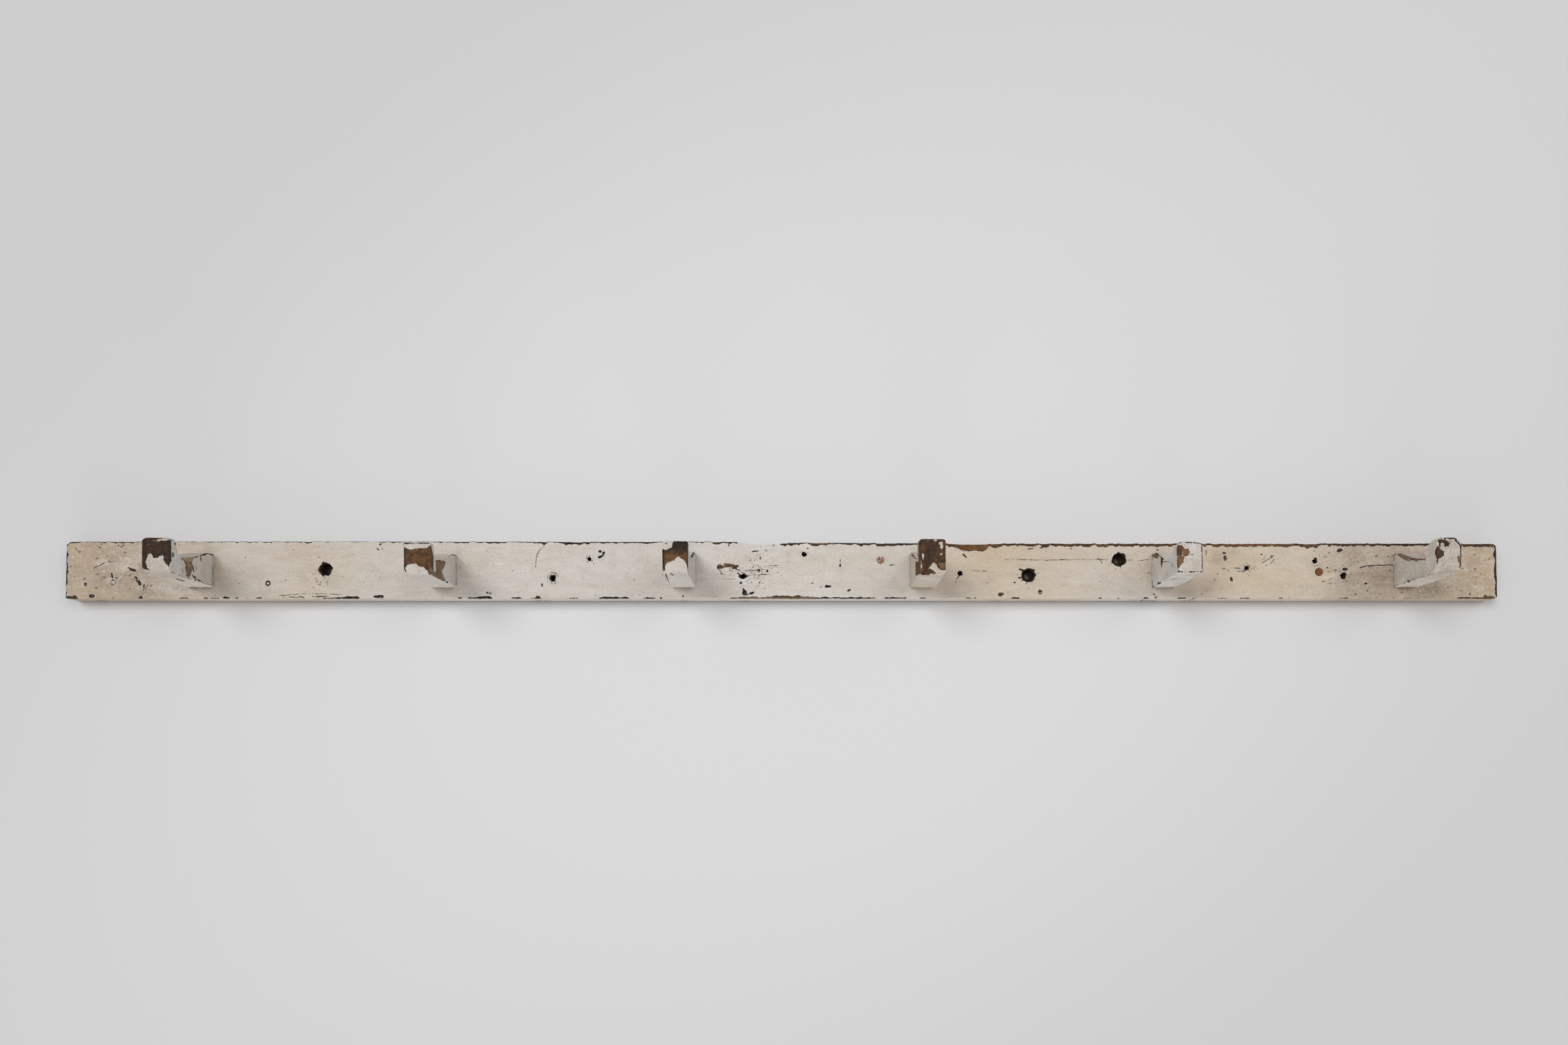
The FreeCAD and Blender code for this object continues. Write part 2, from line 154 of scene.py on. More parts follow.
def near_line(x, y, corners):
    """Distance to a line through corners."""
    nearest = np.full(x.shape, np.inf)
    for (ax, ay), (bx, by) in zip(corners, corners[1:]):
        run = np.clip(((x - ax) * (bx - ax) + (y - ay) * (by - ay))
                      / ((bx - ax) ** 2 + (by - ay) ** 2), 0, 1)
        nearest = np.minimum(nearest, np.hypot(x - ax - run * (bx - ax), y - ay - run * (by - ay)))
    return nearest


def in_polygon(x, y, corners):
    """Signed distance to a polygon's edge, positive inside."""
    corners = corners + corners[:1]
    nearest = near_line(x, y, corners)
    inside = np.zeros(x.shape, bool)
    for (ax, ay), (bx, by) in zip(corners, corners[1:]):
        if ay != by:
            crosses = (ay > y) != (by > y)
            inside ^= crosses & (x < ax + (y - ay) / (by - ay) * (bx - ax))
    return np.where(inside, nearest, -nearest)


def round_corner(first, second, radius):
    """Two insets from faces that meet, moved onto a rounded corner of the given radius."""
    first_in, second_in = radius - first, radius - second
    reach = np.hypot(first_in, second_in)
    outside = (first_in > 0) & (second_in > 0) & (reach > radius)
    pull = np.where(outside, radius / np.maximum(reach, 1e-9), 1)
    return (np.where(outside, radius - first_in * pull, first),
            np.where(outside, radius - second_in * pull, second))


class Surface:
    """What lies on a set of points: how far inside a bare patch each is, its tone, and its stains and
    painted shade.

    carve is how deep the surface is cut away there, in millimetres."""

    NAMES = ("bare", "tone", "warm", "grime", "scuff", "rust", "crackle")

    def __init__(self, count):
        for name in (*self.NAMES, "carve"):
            setattr(self, name, np.zeros(count))
        self.bare -= 9.0

    def strip(self, distance, tone, depth=0.35, most=1.6, over=False):
        """Paint gone where distance is positive, down to wood of a tone.

        A low most leaves flakes of paint inside. With over, the tone replaces one given before."""
        nearer = distance > (np.minimum(self.bare, 0) if over else self.bare)
        self.tone = np.where(nearer, tone, self.tone)
        self.bare = np.maximum(self.bare, np.minimum(distance, most))
        self.carve = np.maximum(self.carve, depth * smooth(distance, -0.25, 0.45))

    def cover(self, distance):
        """Paint left standing where distance is positive."""
        self.bare = np.minimum(self.bare, -distance)
        self.carve = self.carve * smooth(-distance, -0.45, 0.25)

    def keep(self, mesh):
        """Store the fields on a mesh's points, where its material reads them."""
        for name in self.NAMES:
            layer = mesh.attributes.new(name, "FLOAT", "POINT")
            layer.data.foreach_set("value", getattr(self, name).astype(np.float32))


# Materials


def srgb(red, green, blue):
    """A colour given as it shows on a screen, from 0 to 255."""
    return tuple(
        part / 255 / 12.92 if part <= 10 else ((part / 255 + 0.055) / 1.055) ** 2.4
        for part in (red, green, blue)
    ) + (1.0,)


class Graph:
    """A material's nodes, added by short calls that return a socket."""

    def __init__(self, name):
        self.material = bpy.data.materials.new(name)
        self.material.use_nodes = True
        self.tree = self.material.node_tree
        self.shader = self.tree.nodes["Principled BSDF"]
        self.place = self.node("ShaderNodeTexCoord").outputs["Object"]

    def node(self, kind, inputs=None, **settings):
        made = self.tree.nodes.new(kind)
        for name, value in settings.items():
            setattr(made, name, value)
        for key, value in (inputs or {}).items():
            self.feed(made.inputs[key], value)
        return made

    def feed(self, socket, value):
        if isinstance(value, bpy.types.NodeSocket):
            self.tree.links.new(value, socket)
        else:
            socket.default_value = value

    def field(self, name):
        """One of a surface's fields, as its mesh carries it."""
        return self.node("ShaderNodeAttribute", attribute_name=name).outputs["Fac"]

    def maths(self, operation, first, second=0.0, third=0.0):
        inputs = {0: first, 1: second, 2: third}
        return self.node("ShaderNodeMath", inputs, operation=operation).outputs[0]

    def add(self, first, second):
        return self.maths("ADD", first, second)

    def times(self, first, second):
        return self.maths("MULTIPLY", first, second)

    def limit(self, value, low, high, to_low=0.0, to_high=1.0):
        """A smooth rise from to_low to to_high as value goes from low to high."""
        inputs = {0: value, 1: low, 2: high, 3: to_low, 4: to_high}
        return self.node("ShaderNodeMapRange", inputs, interpolation_type="SMOOTHSTEP").outputs[0]

    def even(self, value, low, high, to_low=0.0, to_high=1.0):
        """A straight rise from to_low to to_high as value goes from low to high."""
        inputs = {0: value, 1: low, 2: high, 3: to_low, 4: to_high}
        return self.node("ShaderNodeMapRange", inputs).outputs[0]

    def blend(self, factor, first, second, mode="MIX"):
        inputs = {0: factor, 6: first, 7: second}
        made = self.node("ShaderNodeMix", inputs, data_type="RGBA", blend_type=mode)
        return made.outputs[2]

    def vector(self, operation, first, second=(0, 0, 0)):
        made = self.node("ShaderNodeVectorMath", {0: first, 1: second}, operation=operation)
        return made.outputs["Value" if operation == "LENGTH" else "Vector"]

    def scaled(self, size, stretch):
        """The place on the object, in units of size millimetres, drawn out by stretch."""
        return self.vector("MULTIPLY", self.place, tuple(1 / (size * MM * part) for part in stretch))

    def noise(self, size, detail=2.0, stretch=(1, 1, 1), warp=0.0):
        """Noise about 0, mostly from -0.3 to 0.3, with lumps of size millimetres."""
        inputs = {"Vector": self.scaled(size, stretch), "Scale": 1.0, "Detail": detail,
                  "Distortion": warp}
        return self.add(self.node("ShaderNodeTexNoise", inputs).outputs[0], -0.5)

    def cells(self, size, stretch):
        return self.node("ShaderNodeTexVoronoi", {"Vector": self.scaled(size, stretch), "Scale": 1.0})

    def ramp(self, value, stops):
        made = self.node("ShaderNodeValToRGB", {0: value})
        places = made.color_ramp.elements
        while len(places) < len(stops):
            places.new(1.0)
        for place, (position, colour) in zip(places, stops):
            place.position = position
            place.color = colour
        return made.outputs[0]

    def finish(self, colour, roughness, height):
        """Give the shader its colour, its roughness and a height in millimetres."""
        self.feed(self.shader.inputs["Base Color"], colour)
        self.feed(self.shader.inputs["Roughness"], roughness)
        bump = self.node("ShaderNodeBump", {"Height": height, "Distance": MM, "Strength": 1.0})
        self.feed(self.shader.inputs["Normal"], bump.outputs[0])
        return self.material


PAINT_WHITE = srgb(222, 219, 214)
PAINT_CREAM = srgb(212, 194, 169)
PAINT_DIRT_AND_SHADE = srgb(136, 114, 90)
PAINT_PALE = srgb(214, 210, 204)
PAINT_SMUDGE = srgb(168, 152, 134)
PAINT_GRIT = srgb(108, 92, 76)
CRACK_DIRT_AND_SHADOW = srgb(58, 44, 34)
WOOD_FLECK = srgb(150, 134, 114)
STAIN_DARK, STAIN_LIGHT = srgb(96, 48, 22), srgb(160, 96, 46)
NAIL_DARK, NAIL_LIGHT, NAIL_GAP = srgb(58, 27, 12), srgb(150, 80, 22), srgb(20, 14, 10)
STEEL_GREY, STEEL_BROWN = srgb(122, 118, 112), srgb(86, 62, 44)
# Bare wood by tone, from dark to pale; the darkest stand for old dirt, and for painted shade down in deep
# chips and inside the holes
WOOD_TONES = [
    (0.00, srgb(20, 13, 9)),
    (0.22, srgb(44, 31, 22)),
    (0.42, srgb(72, 51, 35)),
    (0.60, srgb(118, 80, 45)),
    (0.78, srgb(114, 97, 77)),
    (1.00, srgb(176, 150, 122)),
]


def painted_wood(name, grain, stroke):
    """Old white paint over bare wood; grain and stroke say how far each is drawn out on each axis."""
    g = Graph(name)
    drawn = tuple(part ** 0.4 for part in stroke)
    mild = tuple(part ** 0.15 for part in stroke)
    rough_edge = g.add(g.times(g.noise(2.2, 5.0, drawn), 2.6), g.times(g.noise(0.8, 3.0, drawn), 1.9))
    edge = g.add(g.field("bare"), rough_edge)
    bare = g.limit(edge, -0.05, 0.07)
    grime = g.field("grime")

    # Paint: white to cream, with blotches, brush marks, and dirt and painted shade that lie in them
    scuff = g.field("scuff")
    warm = g.add(g.field("warm"), g.times(g.noise(60, 3.0, drawn), 1.1))
    paint = g.blend(g.limit(warm, -0.1, 1.1), PAINT_WHITE, PAINT_CREAM)
    brush = g.noise(1.9, 4.0, stroke, 0.6)
    mottle = g.noise(7, 5.0, drawn)
    fine = g.times(g.noise(1.0, 3.0, mild), g.add(g.times(scuff, 1.6), 2.0))
    cloud = g.times(g.noise(20, 4.0, mild), g.times(scuff, 3.0))
    dirt = g.add(g.add(g.times(brush, 0.9), g.times(mottle, 0.8)), g.add(g.add(fine, cloud), grime))
    # This blend carries dirt, and also the painted shade and painted light held in the fields
    paint = g.blend(g.even(dirt, -1.0, 2.0, 0.0, 0.9), paint, PAINT_DIRT_AND_SHADE)
    pale = g.add(g.noise(3.4, 5.0, mild, 0.6), g.times(scuff, 0.2))
    paint = g.blend(g.limit(pale, 0.04, 0.4, 0.0, 0.36), paint, PAINT_PALE)
    smudge = g.limit(g.noise(24, 4.0, mild, 0.8), 0.06, 0.4, 0.0, 0.6)
    paint = g.blend(smudge, paint, PAINT_SMUDGE)
    grit = g.limit(g.noise(1.4, 3.0), 0.13, 0.21)
    paint = g.blend(g.times(grit, g.add(g.times(scuff, 0.8), 0.05)), paint, PAINT_GRIT)

    # Short hairline cracks, and specks of dirt that come thicker where dirt and painted shade darken the
    # paint
    wander = g.node("ShaderNodeTexNoise", {"Vector": g.scaled(7, (1, 1, 1)), "Scale": 1.0})
    bent = g.vector("MULTIPLY", wander.outputs["Color"], (1.6, 1.6, 1.6))
    bent = g.vector("ADD", bent, g.scaled(5, drawn))
    cracks = g.node("ShaderNodeTexVoronoi", {"Vector": bent, "Scale": 1.0}, feature="DISTANCE_TO_EDGE")
    hair = g.add(cracks.outputs["Distance"], g.times(g.noise(2.2), 0.12))
    hair = g.limit(hair, 0.01, 0.07, 1.0, 0.0)
    cracked = g.add(g.times(g.field("crackle"), 0.55), g.times(g.noise(2.4, 2.0), 2.2))
    hair = g.times(hair, g.limit(cracked, 0.42, 0.58))
    paint = g.blend(g.times(hair, 0.85), paint, CRACK_DIRT_AND_SHADOW)
    for size, more, least in ((6.0, grime, 0.66), (3.1, scuff, 0.74)):
        cells = g.cells(size, (1.4, 1, 1))
        odds = g.add(cells.outputs["Color"], g.times(more, 0.16))
        radius = g.limit(odds, least, least + 0.5, 0.0, 0.24)
        reach = g.add(cells.outputs["Distance"], g.times(g.noise(0.7), 0.45))
        speck = g.limit(g.maths("SUBTRACT", radius, reach), 0.0, 0.03)
        paint = g.blend(g.times(speck, 0.75), paint, CRACK_DIRT_AND_SHADOW)

    # A paler rim of thick paint round every bare patch, with a painted shadow along its edge where the
    # paint has lifted
    paint = g.blend(g.limit(edge, -1.1, -0.2, 0.0, 0.4), paint, PAINT_PALE)
    # Painted shadow: a thin dark line under the paint's lifted edge
    lifted_edge_shadow = g.times(g.limit(edge, -0.26, -0.08), g.limit(g.noise(2.6), -0.12, 0.1))
    paint = g.blend(g.times(lifted_edge_shadow, 0.75), paint, CRACK_DIRT_AND_SHADOW)

    # Bare wood: grain lines, blotches and pale flecks
    grain_lines = g.noise(0.9, 4.0, grain, 0.4)
    tone = g.add(g.field("tone"), g.times(grain_lines, 0.6))
    wood = g.ramp(g.add(tone, g.times(g.noise(5, 5.0), 0.55)), WOOD_TONES)
    flecks = g.limit(g.noise(1.0, 4.0), 0.15, 0.26, 0.0, 0.4)
    wood = g.blend(flecks, wood, WOOD_FLECK)
    colour = g.blend(bare, paint, wood)

    # Rust that has run into both
    rust = g.limit(g.add(g.field("rust"), g.times(g.noise(1.3, 4.0), 1.3)), 0.35, 0.75)
    rusty = g.blend(g.limit(g.noise(1.1, 3.0), -0.15, 0.2), STAIN_DARK, STAIN_LIGHT)
    colour = g.blend(rust, colour, rusty)

    # Paint shines a little more than wood, and every mark stands out or lies lower
    g.shader.inputs["Specular IOR Level"].default_value = 0.3
    roughness = g.limit(g.add(bare, g.times(mottle, 0.8)), 0.0, 1.0, 0.58, 0.82)
    height = g.times(brush, 0.2)
    for part, share in ((fine, 0.05), (mottle, 0.2), (pale, 0.12), (hair, -0.15)):
        height = g.add(height, g.times(part, share))
    height = g.blend(bare, height, g.add(g.times(grain_lines, 0.5), -0.3))
    return g.finish(colour, roughness, height)


def old_nail(name, node, rust, ring_place, ring_wide, squeeze):
    """A nail head under paint, with rust coming through and a broken dark ring in the paint."""
    g = Graph(name)
    low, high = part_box(node)
    radius = (high.x - low.x) / 2
    flat = g.vector("SUBTRACT", g.place, (low + high) / 2)
    flat = g.vector("MULTIPLY", flat, (1 / radius, 0, 1 / radius))
    crust = g.noise(1.7, 5.0)
    paint = g.blend(g.limit(g.noise(2.0, 4.0), -0.2, 0.3), PAINT_PALE, PAINT_CREAM)
    iron = g.blend(g.limit(crust, -0.12, 0.12), NAIL_DARK, NAIL_LIGHT)
    bare = g.limit(g.add(g.times(crust, 4.0), rust - 0.5), -0.1, 0.25)
    colour = g.blend(bare, paint, iron)
    reach = g.vector("LENGTH", g.vector("MULTIPLY", flat, (squeeze, 0, 1)))
    gap = g.maths("ABSOLUTE", g.add(reach, -ring_place))
    broken = g.add(g.times(g.noise(1.6, 2.0), 0.9), ring_wide)
    crack = g.limit(g.maths("SUBTRACT", broken, gap), 0.0, 0.05)
    colour = g.blend(crack, colour, NAIL_GAP)
    g.shader.inputs["Metallic"].default_value = 0.1
    height = g.add(g.times(crust, 0.3), g.times(crack, -0.3))
    return g.finish(colour, g.limit(crust, -0.2, 0.2, 0.6, 0.9), height)


def dull_steel(name):
    """A steel screw gone dull, with patches of brown."""
    g = Graph(name)
    patches = g.noise(1.6, 4.0)
    colour = g.blend(g.limit(patches, -0.05, 0.2), STEEL_GREY, STEEL_BROWN)
    g.shader.inputs["Metallic"].default_value = 0.8
    return g.finish(colour, g.limit(patches, -0.1, 0.2, 0.38, 0.75), g.times(patches, 0.08))


# Meshes


def new_object(name, points, faces):
    """An object from points in millimetres and the faces between them."""
    mesh = bpy.data.meshes.new(name)
    mesh.from_pydata((points * MM).tolist(), [], faces)
    mesh.update()
    made = bpy.data.objects.new(name, mesh)
    bpy.context.scene.collection.objects.link(made)
    return made


def read(items, field, width=3, kind=float):
    """A field of a mesh's points, faces or corners, a row for each."""
    values = np.empty(len(items) * width, kind)
    items.foreach_get(field, values)
    return values.reshape(-1, width)


def read_points(mesh):
    """A mesh's points, in millimetres."""
    return read(mesh.vertices, "co") / MM


def write_points(mesh, points):
    mesh.vertices.foreach_set("co", (points * MM).ravel())
    mesh.update()


def apply_modifiers(made):
    """Give an object the mesh that its modifiers make, and drop them."""
    bpy.context.view_layer.update()
    graph = bpy.context.evaluated_depsgraph_get()
    mesh = bpy.data.meshes.new_from_object(made.evaluated_get(graph))
    made.modifiers.clear()
    made.data = mesh


def dress(made, material):
    """Give a piece its one material."""
    made.data.materials.clear()
    made.data.materials.append(material)


def take_place(made, node, material):
    """Let a finished mesh stand for its CAD node."""
    made.data.shade_smooth()
    made.data.set_sharp_from_angle(angle=math.radians(48))
    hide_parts(node)
    dress(made, material)
    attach(made, "root")


# The board

# How far apart the board's points lie, how far near an arris, and how near that is, in millimetres
STEP, EDGE_STEP, EDGE_BAND = 2.25, 1.1, 4.5
NAIL_HOLE_DEEP = 14.0

# Where the paint has gone from the top edge, as pixel columns, how far down the front in pixels,
# and the tone of the wood
TOP_WEAR_PX = [
    (95, 117, 2, 0.15), (130, 155, 1.6, 0.2), (157, 195, 2, 0.2), (184, 187, 4, 0.1),
    (335, 345, 2.2, 0.15), (352, 392, 1.2, 0.2), (427, 436, 4, 0.15), (436, 450, 2.2, 0.2),
    (560, 579, 1.6, 0.1), (620, 655, 1.2, 0.2), (650, 676, 2, 0.1), (680, 730, 2.2, 0.15),
    (763, 787, 2.2, 0.15), (774, 788, 4.4, 0.08), (799, 850, 3.6, 0.12), (806, 822, 5, 0.08),
    (858, 938, 2.2, 0.12), (1003, 1013, 2, 0.1), (1018, 1038, 4, 0.35), (1038, 1060, 2.2, 0.2),
    (1122, 1150, 2.4, 0.2), (1157, 1191, 3.6, 0.42), (1167, 1177, 6, 0.45), (1208, 1221, 2.4, 0.12),
    (1226, 1250, 2.2, 0.2), (1254, 1290, 3.6, 0.32), (1290, 1315, 1.2, 0.2), (1357, 1379, 4, 0.42),
    (1366, 1426, 10.5, 0.52), (1415, 1442, 5, 0.45), (1442, 1455, 2.6, 0.35), (1455, 1466, 4.6, 0.4),
    (1466, 1490, 2.8, 0.4), (1490, 1510, 4.6, 0.35), (1510, 1570, 3.2, 0.42), (1570, 1595, 5, 0.5),
    (1582, 1590, 11, 0.5), (1595, 1631, 3, 0.4), (1631, 1686, 3.4, 0.4), (1722, 1735, 5, 0.55),
    (1735, 1860, 3.4, 0.5), (1860, 1897, 5, 0.42), (1868, 1888, 9, 0.5), (1897, 1903, 4, 0.2),
    (1903, 1962, 2.4, 0.35), (1962, 1978, 3.6, 0.35), (1978, 2050, 2, 0.2), (2096, 2150, 4.5, 0.42),
]
# Where it has gone from the lower edge, and along the ridge of paint a little above it: pixel
# columns, the height of the band's middle above the edge and half its height in pixels, and tone
LOWER_WEAR_PX = [
    (92, 113, 0.1, 4, 0.3), (196, 206, 0.1, 1.8, 0.15), (256, 272, 1, 0.7, 0.3),
    (290, 300, 0.2, 1.5, 0.12), (300, 316, 0.1, 0.6, 0.3), (318, 331, 0.2, 1.7, 0.1),
    (335, 343, 0.1, 1.4, 0.1), (353, 357, 0.1, 1.6, 0.12), (366, 377, 0.1, 1.2, 0.1),
    (400, 438, 2.2, 0.5, 0.45), (446, 474, 3, 0.6, 0.4), (462, 486, 0.6, 0.6, 0.3),
    (478, 490, 1, 1.1, 0.15), (488, 517, 1, 1.7, 0.08), (534, 552, 3.2, 1.6, 0.12),
    (656, 664, 0.8, 1.2, 0.1), (669, 708, 0.8, 2.1, 0.06), (733, 750, 0.8, 0.9, 0.2),
    (766, 776, 0.8, 1.2, 0.1), (755, 781, 0.1, 0.7, 0.25), (812, 830, 1, 0.3, 0.4),
    (858, 904, 0.6, 1.7, 0.06), (922, 942, 0.4, 1, 0.1), (945, 951, 0.8, 1.8, 0.08),
    (978, 983, 0.4, 1.6, 0.1), (1047, 1070, 0.6, 1, 0.06), (1060, 1172, 0, 2.4, 0.72),
    (1107, 1150, 2.4, 1.7, 0.42), (1108, 1164, 1.4, 0.9, 0.08), (1140, 1168, 1.6, 1, 0.45),
    (1160, 1258, 0.2, 1.6, 0.04), (1160, 1185, 0.6, 0.8, 0.1), (1268, 1302, 0.6, 1, 0.08),
    (1318, 1330, 0.6, 1, 0.12), (1384, 1402, 0.6, 0.6, 0.4), (1449, 1465, 1, 1, 0.2),
    (1563, 1568, 0.1, 1.2, 0.12), (1575, 1583, 0.2, 1.3, 0.12), (1588, 1592, 0.2, 1.3, 0.15),
    (1602, 1608, 0.1, 1.1, 0.12), (1630, 1634, 0.1, 1.2, 0.15), (1641, 1650, 0.1, 1.2, 0.08),
    (1657, 1661, 0.4, 1.4, 0.1), (1687, 1704, 0.1, 1.5, 0.08), (1712, 1716, 0.1, 1.2, 0.1),
    (1746, 1762, 0.4, 0.6, 0.4), (1778, 1796, 0.1, 1, 0.12), (1834, 1842, 0.1, 1.2, 0.2),
    (1920, 1936, 0.6, 0.6, 0.4), (2010, 2040, 0.1, 0.6, 0.4), (2090, 2150, 0.1, 2.4, 0.45),
    (2124, 2150, 0.1, 4.4, 0.5),
]

# Chips and gouges: centre and half sizes in pixels, turn in degrees, tone, and depth in millimetres
CHIPS_PX = [
    (131.5, 855.5, 4.2, 3, 0, 0.12, 0.35), (122.5, 839, 2.4, 3.2, 0, 0.1, 0.35),
    (138, 844, 2.4, 1.4, 20, 0.7, 0.3), (145, 781, 1.3, 1.2, 0, 0.1, 0.4),
    (170, 783, 1.5, 1.2, 0, 0.1, 0.4), (174, 784.5, 1.4, 1.2, 0, 0.1, 0.4),
    (177, 783, 1.4, 1.2, 0, 0.1, 0.4), (179, 793, 1.2, 1.4, 0, 0.25, 0.4), (202, 857, 2, 2, 0, 0.2, 0.4),
    (155, 806, 2.6, 1.4, 30, 0.5, 0.3), (189, 817.5, 6.6, 2, -22, 0.2, 0.4),
    (160.5, 826, 1.3, 4.2, 14, 0.15, 0.6), (168, 829.5, 3, 0.9, -10, 0.3, 0.3),
    (198, 834, 2.8, 7.4, 32, 0.25, 0.4), (206, 841, 1.4, 2.6, -30, 0.4, 0.4),
    (861, 791.5, 2.8, 2, 0, 0.08, 0.7), (866, 794.5, 1.8, 3.6, -20, 0.06, 0.7),
    (861.5, 799, 3.4, 2, 20, 0.1, 0.7), (845.8, 802.5, 2.6, 2, 20, 0.15, 0.5),
    (1066, 827.2, 6.6, 2.1, -4, 0, 0.9), (1066.4, 827.2, 2.8, 3.6, 10, 0, 0.9),
    (1060.4, 824, 3.4, 0.9, -32, 0.02, 0.5), (1068.2, 850.4, 3.2, 4.4, 15, 0.16, 0.6),
    (1066.4, 846.4, 1.6, 2.4, -10, 0.05, 0.5), (1071.6, 853, 2.6, 1.2, 10, 0.04, 0.5),
    (1077.8, 851.6, 4.6, 1.4, 20, 0.04, 0.5), (1063, 836.6, 2, 1.5, -20, 0.05, 0.5),
    (1082.6, 789.9, 5, 0.9, 4, 0.03, 0.5), (1079.6, 791, 1.6, 1.3, 0, 0.03, 0.4),
    (1099, 788.6, 0.8, 2, 0, 0.1, 0.4), (1091, 799.8, 0.9, 2.6, 8, 0.03, 0.6),
    (1088.6, 818.9, 4.4, 0.9, -6, 0.03, 0.6), (1088.9, 818.9, 1.8, 2.1, 0, 0.02, 0.6),
    (1101, 819.8, 1.5, 1.5, 30, 0.04, 0.5), (1090.2, 836.3, 1.3, 1.2, 0, 0.06, 0.5),
    (1030.6, 815.2, 1.3, 2.4, 12, 0.02, 0.6), (1261.4, 801.6, 1.4, 1, 30, 0.25, 0.3),
    (1266.4, 806.6, 1.5, 0.9, -30, 0.25, 0.3), (1264.4, 801, 0.8, 1.6, 10, 0.3, 0.3),
    (1260.6, 806.2, 1.4, 0.8, -50, 0.35, 0.3), (1268, 802.6, 1.3, 0.7, 40, 0.3, 0.3),
    (1384, 797, 4.2, 1.4, -42, 0.1, 0.6), (1281, 811, 4.6, 0.9, 0, 0.35, 0.3),
    (1436.5, 853, 4.4, 2.8, 10, 0.3, 0.4), (1492.7, 849.7, 2.9, 2.9, 0, 0.25, 0.4),
    (1478.6, 786.6, 4, 1.4, 0, 0.3, 0.3), (1494, 785, 2, 1.3, 0, 0.25, 0.3),
    (1537, 786, 1.6, 1.3, 0, 0.3, 0.3), (777.6, 839.5, 1.2, 2.6, 0, 0.15, 0.5),
    (1922.6, 788.8, 4.2, 2.8, 20, 0.3, 0.6), (1756.8, 793, 2.6, 2, -20, 0.35, 0.6),
    (1758.2, 800.5, 2.2, 4.4, 8, 0.36, 0.7), (1767, 831, 2.2, 3.4, 20, 0.42, 0.7),
    (1826, 798, 3, 2, -20, 0.55, 0.3), (1811, 795, 2.2, 1, 25, 0.2, 0.3),
    (1205.8, 811.5, 1.6, 2.2, 0, 0.12, 0.6), (1205.8, 806, 0.8, 3, 0, 0.5, 0.3),
    (1187.7, 841.8, 4.4, 1.9, 0, 0, 0.7), (1165.6, 837, 2.2, 0.9, 0, 0.3, 0.4),
    (1218, 847.4, 3.2, 1.7, 28, 0.3, 0.3), (1960, 837.6, 2.4, 1.5, 10, 0.2, 0.4),
    (1958, 822, 1.3, 1, 0, 0.3, 0.3), (1905, 814.6, 1.4, 1.6, 0, 0.05, 0.5),
    (1747.8, 824, 1, 1, 0, 0.2, 0.3), (1888, 801, 2.6, 0.9, 0, 0.05, 0.6),
    (1887.4, 805.2, 4.4, 1.8, 0, 0, 0.8), (1930.2, 816.8, 4, 2.2, 0, 0.1, 0.6),
    (1928.8, 825.2, 4.3, 4.1, 0, 0.06, 0.7), (1931, 827.6, 2.2, 1.7, 0, 0.95, 0.5),
    (1463, 829, 2.2, 1.6, 25, 0.2, 0.5), (545.4, 781.4, 2.2, 0.9, 20, 0.08, 0.5),
    (542.6, 788.6, 2.4, 0.9, -12, 0.06, 0.5), (548.8, 787.6, 1.7, 0.9, 0, 0.1, 0.5),
    (545.8, 778.6, 0.9, 1.6, 20, 0.1, 0.5), (703.4, 851.6, 1.2, 1.7, -20, 0.1, 0.5),
    (1456, 836, 1.6, 1.2, 0, 0.3, 0.4), (1465.5, 818, 4.6, 1.5, -20, 0.25, 0.6),
    (699.4, 850.2, 1.9, 1.3, 0, 0.08, 0.5), (772, 857, 3.2, 1.6, 0, 0.2, 0.4),
    (980, 856, 1.4, 1.2, 0, 0.15, 0.4), (1046, 782, 1.5, 1.6, 0, 0.2, 0.3),
    (1661, 788, 1.6, 1.2, 0, 0.3, 0.3), (1159, 787, 1.4, 1.2, 0, 0.35, 0.3),
    (1657, 853, 2, 2.2, 30, 0.3, 0.3), (1659, 857.5, 2.2, 1, 0, 0.1, 0.4),
    (1643, 858.3, 3.4, 1, 0, 0.05, 0.4), (1714, 858.5, 2.6, 1, 10, 0.1, 0.4),
    (1034.5, 813.4, 4.6, 3.2, -20, 0.46, 1), (1046, 811.2, 8.4, 2.5, -4, 0.52, 0.9),
    (1055, 814, 4.8, 2.1, 28, 0.38, 0.9), (1731, 792, 4, 1.4, 80, 0.5, 0.2),
]
